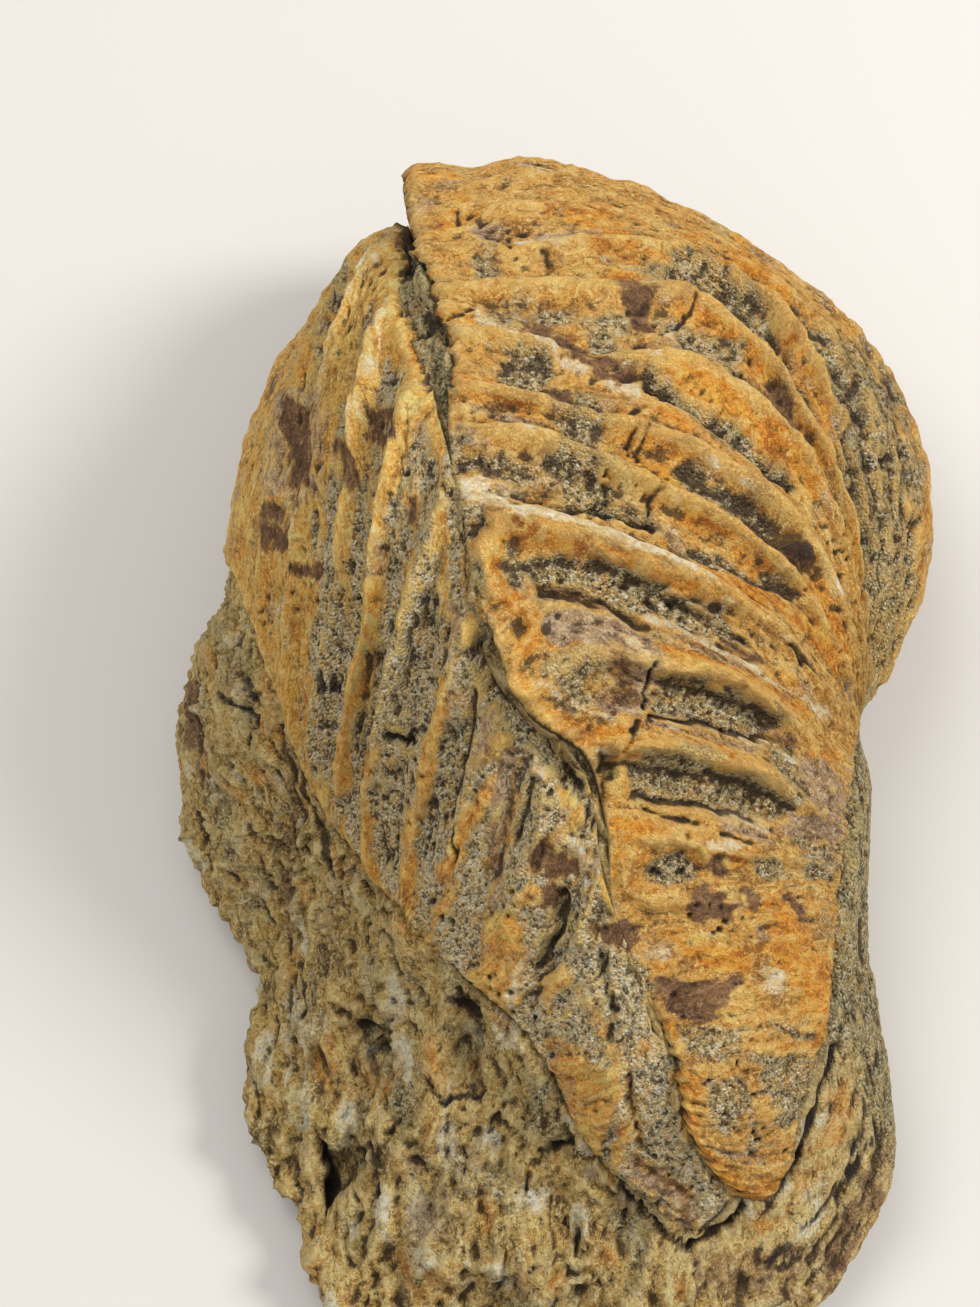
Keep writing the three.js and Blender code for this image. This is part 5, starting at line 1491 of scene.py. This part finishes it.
def sand_grain_group():
    """Packed sand: dark, pale and tinted grains in ground whose colour wanders."""
    group, nodes, given, result = new_group("Sand grains", [
        ("Vector", "NodeSocketVector", None),
        ("Streaks", "NodeSocketVector", None),
        ("Body", "NodeSocketColor", tone(170, 150, 104)),
        ("Tint", "NodeSocketColor", tone(200, 156, 90)),
        ("Dark", "NodeSocketColor", tone(84, 68, 40)),
        ("Pale", "NodeSocketColor", tone(238, 228, 196)),
    ], [("Colour", "NodeSocketColor"), ("Height", "NodeSocketFloat")])
    vector, streaks, body, tint, dark, pale = given.outputs[:6]
    ground = nodes.noise(streaks, 1.6, 7, 0.78)
    tinted = nodes.mix(nodes.ramp(ground, 0.47, 0.6, 0, 0.9), body, tint)
    shaded = nodes.mix(nodes.ramp(ground, 0.49, 0.38, 0, 0.7), tinted, dark)
    fine = nodes.noise(vector, 0.6, 6, 0.85, 1.2)
    darker = nodes.mix(nodes.ramp(fine, 0.48, 0.4, 0, 0.95), shaded, dark)
    lighter = nodes.mix(nodes.ramp(fine, 0.51, 0.58, 0, 0.95), darker, pale)
    grain = nodes.cells(vector, 0.32)
    luck = nodes.add("ShaderNodeSeparateColor", {0: grain.outputs["Color"]}).outputs[0]
    black = nodes.ramp(luck, 0.17, 0.1, 0, 0.75)
    white = nodes.ramp(luck, 0.87, 0.92, 0, 0.85)
    blackened = nodes.mix(black, lighter, tone(*BLACK_GRAIN_TONE))
    colour = nodes.mix(white, blackened, tone(*WHITE_GRAIN_TONE))
    rounded = nodes.ramp(grain.outputs["Distance"], 0.1, 0.75, 1, 0)
    height = nodes.math("ADD", rounded, nodes.math("MULTIPLY", fine, 1.5))
    nodes.tree.links.new(colour, result.inputs["Colour"])
    nodes.tree.links.new(height, result.inputs["Height"])
    return group


def ragged_edge_group():
    """A soft mask turned into one with a ragged edge and islands."""
    group, nodes, given, result = new_group("Ragged edge", [
        ("Vector", "NodeSocketVector", None),
        ("Mask", "NodeSocketFloat", 0.0),
        ("Sharpness", "NodeSocketFloat", 0.2),
    ], [("Mask", "NodeSocketFloat")])
    vector, mask, sharpness = given.outputs[:3]
    coarse = nodes.math("SUBTRACT", nodes.noise(vector, 1.2, 8, 0.86), 0.5)
    pushed = nodes.math("ADD", mask, nodes.math("MULTIPLY", coarse, 2.4))
    low = nodes.math("SUBTRACT", 0.5, sharpness)
    high = nodes.math("ADD", 0.5, sharpness)
    present = nodes.ramp(mask, 0.02, 0.2)
    ragged = nodes.math("MULTIPLY", nodes.ramp(pushed, low, high), present)
    nodes.tree.links.new(ragged, result.inputs["Mask"])
    return group


def stain_group():
    """A colour broken up by darker and lighter blotches, flecks and specks."""
    group, nodes, given, result = new_group("Weathered stain", [
        ("Vector", "NodeSocketVector", None),
        ("Grain vector", "NodeSocketVector", None),
        ("Colour", "NodeSocketColor", tone(190, 140, 60)),
        ("Dark", "NodeSocketColor", tone(120, 80, 40)),
        ("Light", "NodeSocketColor", tone(220, 180, 110)),
    ], [("Colour", "NodeSocketColor")])
    vector, grain_vector, colour, dark, light = given.outputs[:5]
    blotch = nodes.noise(vector, 2.2, 6, 0.74, 0.4)
    darker = nodes.mix(nodes.ramp(blotch, 0.5, 0.37), colour, dark)
    lighter = nodes.mix(nodes.ramp(blotch, 0.52, 0.64), darker, light)
    fine = nodes.noise(grain_vector, 0.7, 6, 0.85, 1.6)
    flecked = nodes.mix(nodes.ramp(fine, 0.47, 0.4, 0, 0.85), lighter, dark)
    bright = nodes.mix(nodes.ramp(fine, 0.51, 0.6, 0, 0.95), flecked, light)
    strokes = nodes.noise(vector, 1.5, 5, 0.7, 2.4)
    stroked = nodes.mix(nodes.ramp(strokes, 0.56, 0.62, 0, 0.75), bright, light)
    scored = nodes.mix(nodes.ramp(strokes, 0.44, 0.37, 0, 0.65), stroked, dark)
    specks = nodes.noise(vector, 0.7, 5, 0.8)
    speckled = nodes.mix(nodes.ramp(specks, 0.4, 0.34, 0, 0.7), scored, tone(*SPECK_TONE))
    nodes.tree.links.new(speckled, result.inputs["Colour"])
    return group


FINISHES = ("bare", "rust", "lavender", "plum", "cream", "sand")
SHADES = ("", " dark", " light")


def coat_group():
    """The layered finish of a piece: its colour, with painted shade in hollows and painted
    highlight on crests, and its fine relief.
    """
    colours = [(finish + shade, "NodeSocketColor", None) for finish in FINISHES for shade in SHADES]
    group, nodes, given, result = new_group("Fossil coat", [
        *colours, ("sand tint", "NodeSocketColor", None), ("Relief depth", "NodeSocketFloat", 0.5),
    ], [("Colour", "NodeSocketColor"), ("Normal", "NodeSocketVector")])
    where = nodes.add("ShaderNodeTexCoord").outputs["Object"]
    lie = nodes.add("ShaderNodeAttribute", attribute_name="lie").outputs["Vector"]

    def mask(finish, sharpness=0.25):
        share = nodes.add("ShaderNodeAttribute", attribute_name=finish).outputs["Fac"]
        values = {"Vector": lie, "Mask": share, "Sharpness": sharpness}
        return nodes.add("ShaderNodeGroup", values, node_tree=RAGGED_EDGE).outputs["Mask"]

    def stained(finish):
        tones = [given.outputs[finish + shade] for shade in SHADES]
        values = dict(zip(("Colour", "Dark", "Light"), tones))
        values.update({"Vector": lie, "Grain vector": where})
        return nodes.add("ShaderNodeGroup", values, node_tree=STAIN).outputs["Colour"]

    sand = nodes.add("ShaderNodeGroup", {
        "Vector": where, "Streaks": lie, "Body": given.outputs["sand"],
        "Tint": given.outputs["sand tint"], "Dark": given.outputs["sand dark"],
        "Pale": given.outputs["sand light"],
    }, node_tree=SAND_GRAINS)
    sand_mask = mask("sand", 0.3)
    colour = stained("bare")
    for finish in ("rust", "lavender"):
        colour = nodes.mix(mask(finish), colour, stained(finish))
    colour = nodes.mix(sand_mask, colour, sand.outputs["Colour"])
    pale = stained("cream")
    fine = nodes.noise(where, 0.4, 4, 0.75, 1.0)
    relief = nodes.add("ShaderNodeAttribute", attribute_name="relief").outputs["Fac"]
    # painted highlight: the relief's crests are lightened towards the bare shell's light tone
    painted_crest_highlight = nodes.ramp(relief, 0.54, 0.8, 0, 0.7)
    colour = nodes.mix(painted_crest_highlight, colour, nodes.mix(0.5, stained("bare"), given.outputs["bare light"]))
    colour = nodes.mix(mask("cream"), colour, pale)
    colour = nodes.mix(mask("plum"), colour, stained("plum"))
    # painted shade: the relief's hollows, loosened by noise, are darkened towards a dark brown
    loose = nodes.math("MULTIPLY", nodes.math("SUBTRACT", fine, 0.5), 0.9)
    hollow = nodes.ramp(nodes.math("ADD", relief, loose), 0.42, 0.14, 0, 0.85)
    colour = nodes.mix(hollow, colour, tone(*PAINTED_HOLLOW_SHADE_TONE))
    # the dark coat: grime, and painted shade in cracks, crevices, pits and gaps
    darkened = nodes.math("MULTIPLY", mask("dark", 0.3), 0.85)
    colour = nodes.mix(darkened, colour, tone(*GRIME_AND_SHADE_TONE))
    streaks = nodes.noise(lie, 0.9, 5, 0.8, 1.2)
    crust = nodes.math("ADD", fine, streaks)
    height = nodes.add("ShaderNodeMix", {0: sand_mask, 2: crust, 3: sand.outputs["Height"]},
                       data_type="FLOAT").outputs[0]
    depth = nodes.math("MULTIPLY", given.outputs["Relief depth"], MM)
    bump = nodes.add("ShaderNodeBump", {"Height": height, "Distance": depth})
    nodes.tree.links.new(colour, result.inputs["Colour"])
    nodes.tree.links.new(bump.outputs["Normal"], result.inputs["Normal"])
    return group


SAND_GRAINS = sand_grain_group()
RAGGED_EDGE = ragged_edge_group()
STAIN = stain_group()
COAT = coat_group()


STONE_GLOSS = 0.3


def fossil_material(name, tones, sand_tint, relief_depth_mm, roughness):
    """A material of one piece; tones gives each finish its colour, dark and light."""
    material = bpy.data.materials.new(name)
    material.use_nodes = True
    tree = material.node_tree
    shader = tree.nodes["Principled BSDF"]
    shader.inputs["Roughness"].default_value = roughness
    shader.inputs["Specular IOR Level"].default_value = STONE_GLOSS
    values = {
        finish + shade: tone(*value)
        for finish, shades in tones.items()
        for shade, value in zip(SHADES, shades)
    }
    values.update({"sand tint": tone(*sand_tint), "Relief depth": relief_depth_mm})
    coat = Nodes(tree).add("ShaderNodeGroup", values, node_tree=COAT)
    tree.links.new(coat.outputs["Colour"], shader.inputs["Base Color"])
    tree.links.new(coat.outputs["Normal"], shader.inputs["Normal"])
    return material


# Colours as they look on a screen: each finish's own tone, its dark and its light.
SHELL_TONES = {
    "bare": ((236, 172, 76), (162, 106, 40), (255, 220, 134)),
    "rust": ((240, 152, 42), (174, 98, 22), (255, 202, 86)),
    "lavender": ((194, 156, 114), (130, 98, 66), (242, 216, 176)),
    "plum": ((130, 92, 60), (84, 58, 38), (172, 130, 88)),
    "cream": ((255, 230, 176), (222, 182, 108), (255, 252, 232)),
    "sand": ((200, 174, 112), (78, 62, 34), (255, 242, 198)),
}
# The left valve's tones are painted lighter than the right valve's: painted light on its side that
# faces away from the key lamp.
LEFT_TONES_PAINTED_LIGHTER = {
    **SHELL_TONES,
    "bare": ((250, 186, 80), (182, 122, 48), (255, 230, 142)),
    "rust": ((252, 170, 64), (192, 114, 38), (255, 218, 112)),
    "sand": ((238, 214, 154), (96, 78, 46), (255, 252, 226)),
}
ROCK_TONES = {
    "bare": ((228, 182, 94), (104, 76, 34), (255, 234, 168)),
    "rust": ((232, 158, 64), (150, 96, 36), (255, 210, 124)),
    "lavender": ((200, 168, 124), (124, 98, 66), (240, 222, 184)),
    "plum": ((146, 108, 74), (92, 66, 44), (190, 152, 110)),
    "cream": ((254, 234, 178), (196, 164, 98), (255, 253, 234)),
    "sand": ((200, 178, 112), (64, 54, 28), (252, 246, 206)),
}

# ------------------------------------------------------------------ the fossil

VALVE_ROWS = 545
RIGHT_COLUMNS = 150
LEFT_COLUMNS = 112

right_sheet = ValveSheet(RIGHT_RIBS, RIGHT_RIM, 1, RIGHT_COLUMNS, VALVE_ROWS)
left_sheet = ValveSheet(LEFT_RIBS, LEFT_RIM, -1, LEFT_COLUMNS, VALVE_ROWS)
right_valve = make_valve(
    "right_shell_valve", right_sheet, right_wave(right_sheet), sandy=0.25, seed=3,
)
left_valve = make_valve(
    "left_shell_valve", left_sheet, left_wave(left_sheet), sandy=0.7, seed=23,
)
sandstone = make_sandstone((right_sheet, left_sheet))

right_finish = fossil_material("iron_stained_shell", SHELL_TONES, (224, 164, 74), 1.5, 0.8)
# the left valve's lighter sand tint is painted light as well
left_finish = fossil_material("sandy_shell", LEFT_TONES_PAINTED_LIGHTER, (250, 190, 92), 1.35, 0.84)
rock_finish = fossil_material("olive_sandstone", ROCK_TONES, (238, 180, 84), 2.0, 0.88)
for piece, finish, node, slot in (
    (right_valve, right_finish, "right_valve", "right_shell"),
    (left_valve, left_finish, "left_valve", "left_shell"),
    (sandstone, rock_finish, "sandstone_matrix", "sandstone"),
):
    piece.data.materials.append(finish)
    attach(piece, "root")
    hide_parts(node)

# ------------------------------------------------------------------ floor, light and camera


FLOOR_SIZE = 4
FLOOR_TONE = (181, 178, 174)
LAMP_TINT = (1.0, 0.985, 0.96)
LAMPS = [  # name, place, size and power; metres and watts
    ("key", (0.43, 0.07, 0.42), 0.22, 3.7),
    ("fill", (-0.2, 0.1, 0.55), 0.4, 2.1),
]
SURROUNDINGS = (1.0, 0.985, 0.965, 1), 0.78  # colour and strength
FRAME_HEIGHT = 130.7  # millimetres of the plan that the frame shows
SENSOR = 36


def make_floor():
    bpy.ops.object.select_all(action="DESELECT")
    bpy.ops.mesh.primitive_plane_add(size=FLOOR_SIZE, location=(0, 0, 0))
    floor = bpy.context.object
    floor.name = "floor"
    material = bpy.data.materials.new("pale_floor")
    material.use_nodes = True
    shader = material.node_tree.nodes["Principled BSDF"]
    shader.inputs["Base Color"].default_value = tone(*FLOOR_TONE)
    shader.inputs["Roughness"].default_value = 0.9
    floor.data.materials.append(material)


def add_to_scene(name, data, place_m, turn):
    holder = bpy.data.objects.new(name, data)
    bpy.context.scene.collection.objects.link(holder)
    holder.location = place_m
    holder.rotation_euler = turn
    return holder


def make_lamp(name, place_m, size_m, power):
    """A round soft lamp that points at the fossil's foot."""
    lamp = bpy.data.lights.new(name, "AREA")
    lamp.shape = "DISK"
    lamp.size = size_m
    lamp.energy = power
    lamp.color = LAMP_TINT
    add_to_scene(name, lamp, place_m, (-Vector(place_m)).to_track_quat("-Z", "Y").to_euler())


def make_surroundings(colour, strength):
    world = bpy.data.worlds.new("studio")
    world.use_nodes = True
    background = world.node_tree.nodes["Background"]
    background.inputs["Color"].default_value = colour
    background.inputs["Strength"].default_value = strength
    bpy.context.scene.world = world


def make_camera():
    """The eye stands where the plan narrows to a point and looks square at the plan."""
    camera = bpy.data.cameras.new("camera")
    camera.sensor_width = SENSOR
    camera.lens = SENSOR * PLAN_TAPER / FRAME_HEIGHT
    camera.clip_start = 0.01
    eye = place(np.array(0.0), np.array(0.0), PLAN_TAPER) * MM
    bpy.context.scene.camera = add_to_scene("camera", camera, eye, (PLAN_TILT, 0, 0))


make_floor()
make_surroundings(*SURROUNDINGS)
for lamp in LAMPS:
    make_lamp(*lamp)
make_camera()
bpy.context.scene.view_settings.view_transform = "Standard"
